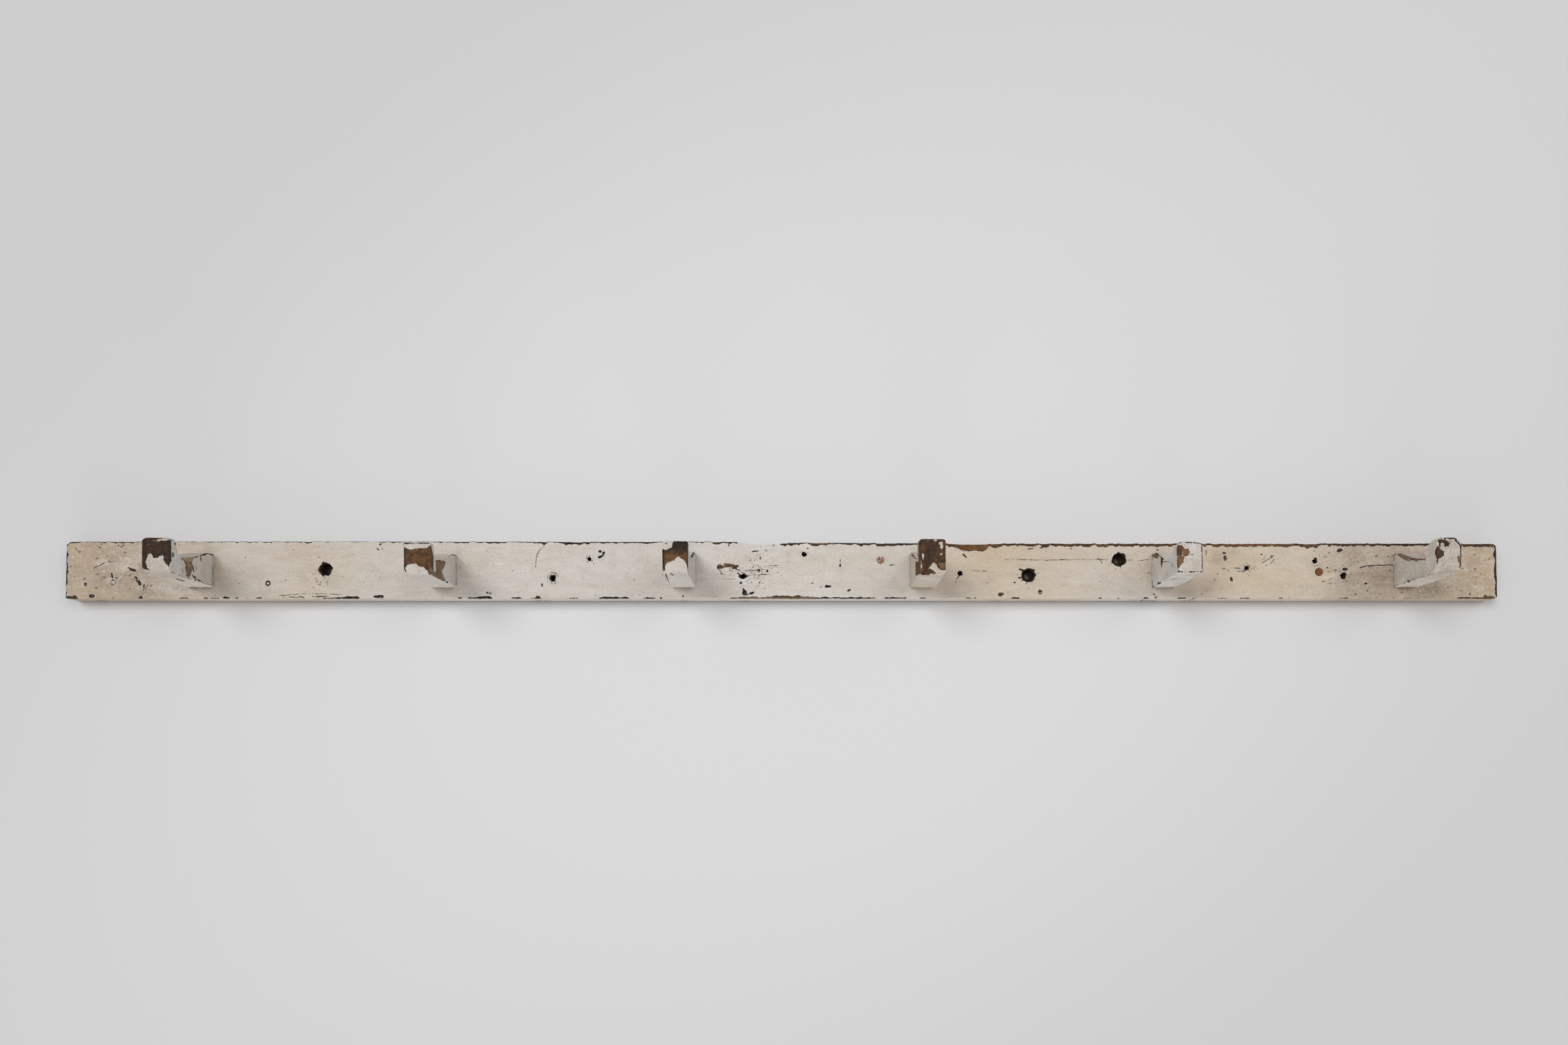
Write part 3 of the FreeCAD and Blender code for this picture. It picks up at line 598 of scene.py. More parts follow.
# Cracks: half width in millimetres, tone, and the columns and rows of the pixels on the crack
CRACKS_PX = [
    (0.5, 0.06, 1029.5, 813, 1031, 817, 1034, 819.5),
    (0.4, 0.08, 1037, 814.5, 1044, 813.5, 1051, 815, 1057, 817, 1062, 819),
    (0.32, 0.45, 781, 784, 775, 789, 771, 795, 769, 804, 768.6, 814),
    (0.34, 0.5, 152, 806, 144, 811, 133, 816), (0.3, 0.4, 215, 835, 211, 841, 206, 846, 203, 853),
    (0.4, 0.25, 107, 786, 109.5, 791), (0.3, 0.45, 1442, 802.5, 1500, 804, 1552, 802.5, 1594, 803),
    (0.3, 0.45, 1618, 803.5, 1634, 804.5, 1650, 803), (0.34, 0.3, 1575, 800, 1579, 804, 1582, 809),
    (0.6, 0.12, 1952, 814.5, 1964, 812, 1980, 811, 1999, 811),
    (0.34, 0.4, 1060, 818, 1066, 822, 1074, 827), (0.24, 0.25, 1070, 818.4, 1089, 818.9, 1104, 817.4),
    (0.2, 0.3, 1072, 826, 1084, 825, 1106, 824), (0.28, 0.5, 1101, 812, 1118, 811),
    (0.22, 0.4, 1036, 831.2, 1056, 831), (0.22, 0.5, 1034, 823.5, 1042, 825.5),
    (0.3, 0.4, 1377, 826, 1373, 831, 1371, 836), (0.26, 0.55, 1395, 819, 1420, 820),
    (0.34, 0.2, 1784, 810.6, 1789, 815, 1794, 820), (0.34, 0.2, 1794, 811.4, 1789, 815, 1785, 820),
    (0.34, 0.4, 1772, 815, 1781, 816.5, 1787, 816), (0.34, 0.45, 1776, 820, 1786, 819.5),
    (0.3, 0.5, 1811, 808, 1819, 803, 1827, 799), (0.3, 0.5, 1816, 812, 1824, 808, 1829, 802),
    (0.3, 0.5, 1752, 815, 1760, 817, 1765, 821), (0.3, 0.45, 1176, 843, 1186, 842),
    (0.26, 0.6, 400, 855, 440, 852, 490, 853.5), (0.3, 0.5, 452, 829, 456, 834, 461, 842),
    (0.28, 0.5, 468, 829, 470, 838), (0.28, 0.5, 1893, 836, 1906, 833, 1914, 829),
    (0.26, 0.62, 1907, 838, 1922, 836, 1936, 834, 1950, 837), (0.3, 0.4, 1886, 812, 1892, 811),
    (0.28, 0.45, 1900, 800, 1906, 798),
]
# Rings in the paint round old nails: centre and radius in pixels, half width in millimetres, tone
RINGS_PX = [
    (162, 836, 3.4, 0.5, 0.3), (793.5, 830, 8, 0.28, 0.4), (793.5, 830, 5.4, 0.3, 0.45),
    (845.8, 802.5, 5, 0.2, 0.6),
]
# Dirt and stains: centre and half sizes in pixels, and strength. The tall marks just beside the hooks are
# dirt and painted shade from the hooks together
STAINS_AND_SHADE_PX = [
    (146, 809, 13, 5, -1), (180, 804, 12, 5, -0.8), (187, 815, 13, 5, -1), (158, 833, 9, 6, -0.8),
    (2078, 805, 9, 12, -0.6), (2125, 800, 12, 8, -0.5), (313, 825, 12, 26, 0.4), (300, 790, 16, 16, 0.3),
    (668, 820, 14, 26, 0.3), (1000, 815, 10, 26, 0.3), (1752, 800, 22, 20, 0.62),
    (1740, 835, 24, 14, 0.5), (1732, 846, 9, 6, 0.75), (1768, 790, 10, 9, 0.55), (1745, 806, 10, 8, 0.45),
    (1893, 821, 11, 10, 0.35), (1930, 828, 12, 9, 0.5), (1955, 824, 16, 7, 0.42),
    (1980, 800, 20, 30, 0.3), (1976, 829, 24, 13, 0.5), (1908, 829, 13, 7, -0.8),
    (2115, 812, 20, 26, 0.3), (2105, 840, 16, 12, 0.3), (150, 806, 22, 16, 0.36), (190, 820, 20, 14, 0.4),
    (150, 838, 16, 12, 0.36), (130, 810, 22, 34, 0.2), (478, 830, 24, 14, 0.3), (467, 817, 14, 12, 0.4),
    (1045, 820, 22, 16, 0.25), (1085, 820, 34, 26, 0.22), (1476, 826, 16, 13, 0.4),
    (1606, 803, 20, 14, 0.4), (1420, 835, 14, 16, 0.25), (1378, 824, 14, 12, 0.3),
    (794, 830, 12, 10, 0.4), (1154, 796, 9, 8, 0.4), (1264, 804, 9, 8, 0.3), (1650, 822, 8, 26, 0.3),
    (2000, 822, 10, 30, 0.28), (1790, 816, 12, 8, 0.3), (205, 852, 20, 8, 0.25), (880, 800, 8, 30, 0.15),
    (1310, 815, 8, 26, 0.25), (2060, 845, 40, 8, 0.35), (1700, 850, 30, 6, 0.3), (640, 850, 40, 6, 0.2),
]
# Whiter scuffs in the paint: centre and half sizes in pixels, and strength
SCUFFS_PX = [
    (150, 807, 18, 9, 0.9), (186, 812, 22, 9, 0.9), (158, 832, 12, 8, 0.7), (196, 800, 18, 8, 0.5),
    (240, 845, 40, 9, 0.9), (270, 852, 30, 6, 0.7), (340, 848, 60, 8, 0.4), (440, 800, 30, 14, 0.3),
    (474, 812, 10, 8, 0.6), (1080, 822, 40, 26, 0.6), (1045, 818, 22, 10, 0.6), (1476, 826, 18, 12, 0.5),
    (1264, 804, 8, 7, 0.7), (1606, 804, 18, 12, 0.4), (1760, 845, 30, 8, 0.3), (1925, 832, 26, 8, 0.5),
    (1950, 806, 20, 9, 0.3), (794, 830, 11, 9, 0.6), (846, 803, 6, 5, 0.7), (640, 800, 70, 18, 0.3),
    (930, 815, 30, 26, 0.4), (1180, 830, 40, 20, 0.3), (1820, 806, 16, 8, 0.5), (2080, 815, 10, 20, 0.2),
]
# Rust: centre, radius in pixels and strength
RUST_PX = [
    (1263.8, 803.8, 5.6, 0.85), (1892.9, 821, 6.4, 0.75), (1154, 795.5, 4.6, 0.45), (1613, 805, 5, 0.5),
    (477, 826, 4, 0.3), (462, 810, 4, 0.3), (1925, 832, 4, 0.25),
]
# Where fine cracks cover the paint: centre and half sizes in pixels, and strength
CRACKLE_PX = [
    (1088, 820, 30, 30, 1), (1045, 815, 20, 14, 0.6), (190, 822, 22, 12, 0.8), (160, 806, 18, 8, 0.7),
    (165, 832, 12, 10, 0.6), (466, 832, 20, 14, 0.7), (1476, 828, 22, 14, 0.8), (1606, 803, 26, 12, 0.6),
    (1790, 816, 18, 10, 0.8), (1820, 803, 14, 10, 0.9), (794, 830, 12, 10, 0.8), (1760, 805, 10, 16, 0.5),
    (1925, 828, 22, 12, 0.7), (1890, 803, 14, 8, 0.5), (1380, 824, 12, 9, 0.5), (863, 796, 6, 8, 0.8),
    (845, 803, 7, 6, 0.5), (1154, 796, 9, 8, 0.5),
]
# How cream the paint is, at pixel columns from left to right
WARMTH_PX = [
    (93, 1), (150, 0.8), (200, 0.55), (300, 0.45), (360, 0.3), (430, 0.45), (500, 0.35), (560, 0.12),
    (700, 0.1), (850, 0.12), (960, 0.08), (1120, 0.08), (1220, 0.2), (1300, 0.1), (1370, 0.45),
    (1440, 0.8), (1500, 0.7), (1560, 0.5), (1640, 0.3), (1720, 0.55), (1800, 0.7), (1870, 0.62),
    (1960, 0.55), (2060, 0.75), (2110, 1), (2150, 1.1),
]
# How much the paint is darkened, at the same kind of columns: by dirt, and also by painted shade towards
# both ends, where the light falls off, and left of the last hook
GRIME_AND_SHADE_PX = [
    (93, 1.1), (200, 1.1), (260, 0.55), (320, 0.35), (440, 0.3), (455, 0.25), (500, 0.25), (570, 0.25),
    (640, 0.05), (760, 0.05), (880, 0.12), (935, 0.12), (1000, 0), (1110, -0.1), (1240, -0.1), (1300, 0),
    (1400, 0), (1455, 0), (1500, 0.05), (1590, 0.05), (1640, 0.15), (1700, 0.2), (1790, 0.05),
    (1870, 0.05), (1940, 1.2), (1990, 1.1), (2060, 1), (2105, 0.9), (2150, 0.9),
]
# Open holes: which pixel, the radius of the mouth and how far the rim wanders, in millimetres, and
# the number that its shape is drawn from
OPEN_HOLES_PX = [
    (467.3, 816.9, 8.0, 0.9, 1), (1476, 825.5, 8.3, 1.3, 2), (1606, 802.5, 8.6, 1.1, 3),
]
# How wide the dark line along the top arris is, in millimetres, at pixel columns
TOP_LINE_PX = [
    (93, 0.6), (240, 0.4), (330, 0.5), (340, 0.7), (440, 0.7), (450, 0.6), (600, 0.6), (715, 0.9),
    (725, 1.2), (935, 1.5), (1000, 1), (1055, 0.8), (1062, -1), (1116, -1), (1124, 0.9), (1300, 1.1),
    (1460, 1.2), (2150, 1),
]
# The top bands as the lower ones are given: from the edge down
TOP_BANDS = [(start, stop, 0.0, down, tone) for start, stop, down, tone in TOP_WEAR_PX]


def top_line():
    """The board's top edge, as places along it and heights, read from the back of its solid."""
    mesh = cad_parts["backboard"].data
    points = read_points(mesh) - CORNER
    back = points[points[:, 1] > BOARD_THICK - 0.01]
    upper = back[back[:, 2] > BOARD_TALL * 0.8]
    upper = upper[np.argsort(upper[:, 0])]
    return upper[:, 0], upper[:, 2]


def graded(length, band):
    """Places from 0 to length that lie closer together within a band at each end."""
    near = np.linspace(0, band, round(band / EDGE_STEP) + 1)
    middle = np.linspace(band, length - band, round((length - 2 * band) / STEP) + 1)
    return np.concatenate((near[:-1], middle, length - near[::-1][1:]))


def wear_field(insets, along, bands, seed):
    """How far inside a worn band along an edge each point lies, and the wood's tone there."""
    best = np.full(along.shape, -9.0)
    tone = np.zeros(along.shape)
    wander = value_noise(np.stack((along, along * 0, along * 0), 1), 4.0, seed) * 0.5
    for start, stop, middle, half, shade in bands:
        wide = half * MM_PER_PX
        inside = np.minimum(along - px_along(start), px_along(stop) - along)
        grown = smooth(inside, -0.6, 1.0 + 1.3 * wide)
        band = (wide + 1.2 + wander * min(wide, 2.2)) * grown - 1.2
        strip = band - np.abs(insets - middle * MM_PER_PX)
        tone = np.where(strip > best, shade, tone)
        best = np.maximum(best, strip)
    return best, tone


def from_columns(along, table):
    """Values that a table gives at pixel columns, read off at places along the board."""
    columns, values = zip(*table)
    return np.interp(along, [px_along(x) for x in columns], values)


def soft_mark(along, up, x, y, wide, high, fall):
    """A round mark that is 1 at a pixel and fades out to the half sizes given in pixels."""
    reach = np.hypot((along - px_along(x)) / (wide * MM_PER_PX), (up - px_up(y)) / (high * MM_PER_PX))
    return np.exp(-reach * reach * fall)


def wear_arrises(surface, points, ragged):
    """A dark line along the top arris, and the worn strips of all four."""
    along, deep, up = points.T
    below_top = np.interp(along, *TOP_LINE) - up
    top_reach = np.hypot(np.maximum(below_top, 0), deep * 0.8)
    strip, tone = wear_field(top_reach, along, TOP_BANDS, 21)
    line = from_columns(along, TOP_LINE_PX) + value_noise(points, (7, 50, 50), 22) * 0.8 - top_reach
    surface.strip(line + ragged * 0.5, 0.18, 0.3, 0.5)
    surface.strip(strip + ragged * 1.2, tone, 0.55, 1.0)
    low_reach = np.hypot(np.maximum(up, 0), deep * 0.8)
    strip, tone = wear_field(low_reach, along, LOWER_WEAR_PX, 23)
    surface.strip(strip + ragged * 0.8, tone, 0.45, 0.55)
    for inset, width, seed in ((along, 1.4, 24), (BOARD_LONG - along, 2.9, 25)):
        reach = np.hypot(np.maximum(inset, 0), deep * 0.8)
        width = width + value_noise(points, (50, 50, 7), seed) * 1.6
        surface.strip(width - reach + ragged, 0.24, 0.12, 0.9)


def mark_front(surface, points, ragged):
    """Chips, cracks, rings and torn holes, on the front alone."""
    along, deep, up = points.T
    most = np.where(deep < 3.0, 9.0, 0.0)
    for x, y, wide, high, turn, shade, depth in CHIPS_PX:
        radii = (wide * MM_PER_PX, high * MM_PER_PX)
        spot = in_ellipse(along, up, (px_along(x), px_up(y)), radii, turn) * (1 + 0.6 / min(radii))
        spot = spot + ragged * min(0.7, min(radii) * 0.6)
        surface.strip(np.minimum(spot, most), shade, depth, depth * 1.1 - 0.22)
    for half_wide, shade, *places in CRACKS_PX:
        corners = [(px_along(x), px_up(y)) for x, y in pairs(places)]
        crack = (half_wide - near_line(along, up, corners)) * 2.2 + 0.25
        surface.strip(np.minimum(crack + ragged * 0.6, most), shade, 0.4, 0.35)
    for x, y, radius, half_wide, shade in RINGS_PX:
        gap = np.abs(np.hypot(along - px_along(x), up - px_up(y)) - radius * MM_PER_PX)
        ring = (half_wide - gap) * 2.2 + 0.15
        surface.strip(np.minimum(ring + ragged * 0.7, most), shade, 0.35, 0.35)
    for x, y, radius, _, seed in OPEN_HOLES_PX:
        gap = np.hypot(along - px_along(x), up - px_up(y)) - radius
        torn = 0.5 + value_noise(points, 3.0, 30 + seed) * 1.6 - gap
        surface.strip(np.minimum(torn, most), 0.3, 0.5)
    for hole_along, hole_up, radius in NAIL_HOLES:
        gap = np.hypot(along - hole_along, up - hole_up) - radius
        torn = 0.6 + value_noise(points, 1.6, 40) * 0.7 - gap
        surface.strip(np.minimum(torn, most), 0.12, 0.4)


def stain_and_shade(surface, along, up):
    """How cream, scuffed, rusty and finely cracked the paint is, and how dark with dirt and painted shade.
    """
    surface.warm = from_columns(along, WARMTH_PX)
    surface.grime = from_columns(along, GRIME_AND_SHADE_PX)
    surface.scuff = 0.12 + 0.3 * smooth(260 - along, 0, 200) + 0.55 * smooth(along - 1450, 0, 300)
    for *place, strength in STAINS_AND_SHADE_PX:
        surface.grime += strength * soft_mark(along, up, *place, 1.6)
    for *place, strength in SCUFFS_PX:
        surface.scuff += strength * soft_mark(along, up, *place, 1.4)
    for x, y, radius, strength in RUST_PX:
        rust = 1.25 * strength * soft_mark(along, up, x, y, radius, radius, 1.2)
        surface.rust = np.maximum(surface.rust, rust)
    for *place, strength in CRACKLE_PX:
        surface.crackle = np.maximum(surface.crackle, strength * soft_mark(along, up, *place, 1))


def board_surface(points):
    """Paint, wear, stains and painted shade at points of the board; its back was never painted."""
    surface = Surface(len(points))
    ragged = value_noise(points, (3.4, 1.5, 1.5), 11) * 0.5
    ragged += value_noise(points, (1.4, 0.9, 0.9), 12) * 0.3
    wear_arrises(surface, points, ragged)
    mark_front(surface, points, ragged)
    stain_and_shade(surface, points[:, 0], points[:, 2])
    back = points[:, 1] > BOARD_THICK - 0.6
    surface.bare = np.where(back, 3.0, surface.bare)
    surface.tone = np.where(back, 0.62, surface.tone)
    return surface


def board_blank():
    """A closed box of the board's outline, with its points close together where features are."""
    along = graded(BOARD_LONG, EDGE_BAND)
    up = graded(BOARD_TALL, EDGE_BAND) / BOARD_TALL
    deep = np.array((0, 1.0, 2.2, 4.4, 9.0, 16.0, 25.0)) / 25.0 * BOARD_THICK
    # Points round the section: front upwards, top backwards, back downwards, bottom forwards
    ring = [(0.0, part) for part in up] + [(depth, 1.0) for depth in deep[1:]]
    ring += [(BOARD_THICK, part) for part in up[::-1][4::4]]
    ring += [(depth, 0.0) for depth in deep[::-1][0 if ring[-1][1] > 0 else 1:-1]]
    ring = np.array(ring)
    points = np.empty((len(along), len(ring), 3))
    points[:, :, 0] = along[:, None]
    points[:, :, 1] = ring[None, :, 0]
    points[:, :, 2] = ring[None, :, 1] * BOARD_TALL
    count = len(ring)
    first = np.arange(len(along) - 1)[:, None] * count + np.arange(count)[None, :]
    following = np.arange(len(along) - 1)[:, None] * count + (np.arange(count) + 1)[None, :] % count
    faces = np.stack((first, first + count, following + count, following), -1).reshape(-1, 4)
    last = (len(along) - 1) * count
    caps = [list(range(count)), [last + number for number in reversed(range(count))]]
    return new_object("worn_board", points.reshape(-1, 3) + CORNER, faces.tolist() + caps)


def refine(board):
    """Split the faces whose middle is near the edge of a bare patch."""
    shape = bmesh.new()
    shape.from_mesh(board.data)
    shape.faces.ensure_lookup_table()
    middles = np.array([face.calc_center_median() for face in shape.faces]) / MM
    bare = board_surface(middles - CORNER).bare
    quads = np.array([len(face.verts) == 4 for face in shape.faces])
    chosen = np.nonzero(quads & (bare > -0.9) & (bare < 0.75))[0]
    edges = {edge for number in chosen for edge in shape.faces[number].edges}
    bmesh.ops.subdivide_edges(shape, edges=list(edges), cuts=2, use_grid_fill=True)
    shape.to_mesh(board.data)
    shape.free()
    board.data.update()


def lathe(centre, profile, wander, seed, sides):
    """A closed turned shape about the Y axis, from pairs of depth and radius, with a wandering rim."""
    angles = np.arange(sides) * 2 * math.pi / sides
    places = np.array([(math.cos(angle), deep, math.sin(angle)) for deep, _ in profile for angle in angles])
    radii = np.repeat([radius for _, radius in profile], sides)
    radii = radii * (1 + wander * value_noise(places * (2.4, 0.15, 2.4), 1.0, seed))
    places[:, 0] = centre[0] + places[:, 0] * radii
    places[:, 2] = centre[1] + places[:, 2] * radii
    faces = []
    for row in range(len(profile) - 1):
        for side in range(sides):
            after = (side + 1) % sides
            low, high = row * sides, (row + 1) * sides
            faces.append((low + side, high + side, high + after, low + after))
    faces.append(tuple(range(sides)))
    faces.append(tuple(reversed(range((len(profile) - 1) * sides, len(profile) * sides))))
    return new_object("cutter", places + CORNER, faces)


def nail_holes():
    """Along, up and radius of each empty nail hole, read from its floor in the board's solid."""
    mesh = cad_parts["backboard"].data
    points = read_points(mesh) - CORNER
    floor = points[np.abs(points[:, 1] - NAIL_HOLE_DEEP) < 0.05]
    found = []
    for point in floor:
        near = [spot for spot in found if math.hypot(spot[0][0] - point[0], spot[0][2] - point[2]) < 9]
        if near:
            near[0].append(point)
        else:
            found.append([point])
    holes = []
    for spot in found:
        spot = np.array(spot)
        centre = (spot.min(0) + spot.max(0)) / 2
        radius = np.hypot(spot[:, 0] - centre[0], spot[:, 2] - centre[2]).max()
        holes.append((centre[0], centre[2], radius))
    return holes


# The board's texture map: the width that it stands for in millimetres, and for each side in turn
# (front, back, top, bottom, left, right) the length of a strip, its scale, the step from strip to
# strip, and the column and row of the first one. The holes' insides have a place of their own.
MAP_WIDE = 456.0
STRIPS = [
    (450, 1.0, 74, 2, 1), (900, 0.5, 38, 2, 298), (900, 0.5, 14.5, 2, 375), (900, 0.5, 14.5, 2, 405),
    (80, 0.5, 0, 2, 436), (80, 0.5, 0, 42, 436),
]
INNER, INNER_COLUMN, INNER_ROW = 6, 84, 436


def lay_out(board):
    """A texture map for the long board: strips of its faces one below another, the front largest."""
    mesh = board.data
    middles = read(mesh.polygons, "center") / MM - CORNER
    normals = read(mesh.polygons, "normal")
    along, deep, up = middles.T
    # For each side: how far a face is from it, how squarely it faces it, and the side's two axes
    sides = (
        (deep, -normals[:, 1], 0, 2), (BOARD_THICK - deep, normals[:, 1], 0, 2),
        (BOARD_TALL - up, normals[:, 2], 0, 1), (up, -normals[:, 2], 0, 1),
        (along, -normals[:, 0], 2, 1), (BOARD_LONG - along, normals[:, 0], 2, 1),
    )
    facing = np.array([np.where(gap < 4.0, square, -1.0) for gap, square, _, _ in sides])
    side = np.where(facing.max(0) > 0.5, facing.argmax(0), INNER)

    # For each corner of a face: the face that it belongs to, and where it lies
    counts = read(mesh.polygons, "loop_total", 1, int)[:, 0]
    owner = np.repeat(np.arange(len(counts)), counts)
    spots = (read_points(mesh) - CORNER)[read(mesh.loops, "vertex_index", 1, int)[:, 0]]
    across, height = np.zeros(len(spots)), np.zeros(len(spots))
    for number, (strip_long, scale, step, column, row) in enumerate(STRIPS):
        first_axis, second_axis = sides[number][2:]
        last = math.ceil(BOARD_LONG / strip_long) - 1
        strip = np.floor(middles[:, first_axis] / strip_long).clip(0, last)[owner]
        chosen = side[owner] == number
        start = column + (spots[:, first_axis] - strip * strip_long) * scale
        across[chosen] = start[chosen]
        height[chosen] = (row + strip * step + spots[:, second_axis] * scale)[chosen]
    inner = side[owner] == INNER
    turned = spots - middles[owner]
    across[inner] = (INNER_COLUMN + along[owner] * 0.2 + turned[:, 0] * 0.3)[inner]
    height[inner] = (INNER_ROW + 1 + spots[:, 1] * 0.5 + turned[:, 2] * 0.3)[inner]
    layer = mesh.uv_layers.new(name="OFBake")
    layer.data.foreach_set("uv", np.stack((across, height), 1).ravel() / MAP_WIDE)


# Depths that are clear of the board, in front of it and behind it; all of these are millimetres
BEFORE, BEHIND = -2, 27
# How deep an open hole's counterbore goes, and the radius of its bore
BORE_DEEP, BORE = 12, 3.5
# How deep an old nail's head lies, the radius of its shank and how deep that goes
NAIL_HEAD_DEEP, NAIL_SHANK, NAIL_DEEP = 0.85, 1.8, 19.9
# The radius of a hook screw's head, and its hole as depths and radii
SCREW_HEAD = 4.5
SCREW_HOLE = [(BEFORE, 2.55), (21.6, 2.55), (25, 5.9), (BEHIND, 5.9)]


def node_box(name):
    """A CAD node's box in millimetres from the board's corner: its low and its high point."""
    low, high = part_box(name)
    return np.array(low) / MM - CORNER, np.array(high) / MM - CORNER


def hole_cutters():
    """A turned shape for each hole in the board."""
    for x, y, radius, wander, seed in OPEN_HOLES_PX:
        profile = [(BEFORE, radius + 0.4), (0, radius), (3, radius - 0.7), (7, radius - 1.0),
                   (BORE_DEEP, radius - 1.6), (BORE_DEEP + 0.2, BORE + 0.1), (BEHIND, BORE - 0.1)]
        yield lathe((px_along(x), px_up(y)), profile, wander * 0.1, seed, 44)
    for number, (along, up, radius) in enumerate(NAIL_HOLES):
        profile = [(BEFORE, radius + 0.2), (0, radius), (6, radius * 0.75),
                   (NAIL_HOLE_DEEP, radius * 0.5)]
        yield lathe((along, up), profile, 0.16, 50 + number, 20)
    for number in HOOKS:
        low, high = node_box(f"hook_{number}_screws")
        for up in (low[2] + SCREW_HEAD, high[2] - SCREW_HEAD):
            yield lathe(((low[0] + high[0]) / 2, up), SCREW_HOLE, 0.0, 0, 24)
    for side in NAIL_LOOKS:
        low, high = node_box(f"old_nail_{side}")
        radius = (high[0] - low[0]) / 2 + 0.3
        profile = [(BEFORE, radius), (NAIL_HEAD_DEEP, radius), (NAIL_HEAD_DEEP + 0.05, NAIL_SHANK),
                   (NAIL_DEEP, NAIL_SHANK)]
        yield lathe(((low[0] + high[0]) / 2, (low[2] + high[2]) / 2), profile, 0.0, 0, 32)


def cut_holes(board):
    """Take all the holes out of the board in one go."""
    cutters = list(hole_cutters())
    with bpy.context.temp_override(active_object=cutters[0], selected_editable_objects=cutters,
                                   selected_objects=cutters, object=cutters[0]):
        bpy.ops.object.join()
    holes = board.modifiers.new("holes", "BOOLEAN")
    holes.operation = "DIFFERENCE"
    holes.object = cutters[0]
    holes.solver = "MANIFOLD"
    apply_modifiers(board)
    bpy.data.objects.remove(cutters[0])


def in_holes(spots):
    """Which points lie inside a hole, and so on none of the board's faces."""
    sizes = np.array((BOARD_LONG, BOARD_THICK, BOARD_TALL))
    return ((spots > 0.3) & (spots < sizes - 0.3)).all(axis=1)


def worn_outline(spots):
    """The board's points moved to the solid's top line and to arrises that follow the wear."""
    along, deep, up = spots.T
    top = np.interp(along, *TOP_LINE)
    up = up * np.where(up > BOARD_TALL * 0.5, 1 + (top / BOARD_TALL - 1) * (up / BOARD_TALL) ** 6, 1)
    lean_left = 1.4 * up / BOARD_TALL
    lean_right = 1.8 * up / BOARD_TALL
    from_left = np.clip(1 - along / 60, 0, 1)
    from_right = np.clip(1 - (BOARD_LONG - along) / 60, 0, 1)
    along = along + lean_left * from_left - lean_right * from_right
    left, right = along - lean_left, BOARD_LONG - lean_right - along
    below = top - up
    jitter = value_noise(spots, 8, 61)
    for side, radius in ((left, 3.0), (right, 5.0)):
        for edge in (below, up):
            side[:], edge[:] = round_corner(side, edge, radius + jitter * 0.8)
    worn = np.clip(wear_field(below * 0, spots[:, 0], TOP_BANDS, 21)[0], 0, 8)
    arris = 1.0 + 0.35 * jitter + 0.75 * worn
    deep, below = round_corner(deep, below, arris)
    deep, low_in = round_corner(deep, up, 1.8 + 0.6 * jitter)
    for side in (left, right):
        deep, side[:] = round_corner(deep, side, 1.1 + 0.5 * jitter)
    along = np.where(spots[:, 0] < BOARD_LONG / 2, left + lean_left, BOARD_LONG - lean_right - right)
    up = np.where(spots[:, 2] > BOARD_TALL / 2, top - below, low_in)
    back_in = BOARD_THICK - deep
    back_in, _ = round_corner(back_in, np.minimum(up, top - up), 0.8)
    deep = BOARD_THICK - back_in
    return np.stack((along, deep, up), 1)


def make_board():
    """The worn board: its outline, holes, chips, stains and painted shade."""
    board = board_blank()
    refine(board)
    cut_holes(board)
    mesh = board.data
    spots = read_points(mesh) - CORNER
    along, deep, up = spots.T
    surface = board_surface(spots)
    # Inside the holes there is only wood, with painted shade that darkens it further in
    inside = in_holes(spots)
    surface.bare = np.where(inside, 3.0, surface.bare)
    surface.tone = np.where(inside, 0.42 - 0.3 * smooth(deep, 2.0, 9.0), surface.tone)
    surface.rust = np.where(inside, 0, surface.rust)
    write_points(mesh, worn_outline(spots) + CORNER)

    # Chips, gouges and the slow waves of a hand-planed face, all cut inwards
    normals = read(mesh.vertex_normals, "vector")
    waves = 0.20 * (1 + value_noise(spots, (70, 40, 24), 62)) / 2
    lumps = 0.16 * (1 + value_noise(spots, (5, 3, 3), 63)) / 2
    lumps += 0.12 * (1 + value_noise(spots, (14, 2, 1.6), 64)) / 2
    near_face = 1 - smooth(deep, 1.5, 4.0) * inside
    inland = smooth(np.minimum(np.minimum(along, BOARD_LONG - along),
                               np.minimum(up, BOARD_TALL - up)), 0.3, 3.0)
    cut = (surface.carve + (waves + lumps) * (0.3 + 0.7 * inland)) * near_face
    places = read_points(mesh) - normals * cut[:, None]
    places[:, 1] = np.minimum(places[:, 1], CORNER[1] + BOARD_THICK)
    write_points(mesh, places)
    surface.keep(mesh)
    lay_out(board)
    take_place(board, "backboard", painted_wood("board_paint", (26, 1, 1), (12, 1, 1)))


TOP_LINE = top_line()
NAIL_HOLES = nail_holes()

# The hooks

# How fine the hooks' meshes are, in millimetres
VOXEL = 0.72
# The tip's thickness at its top, how its back face slopes and how round its back corner is
TIP_THICK, TIP_SLOPE, TIP_ROUND = 17.5, 0.22, 7.0

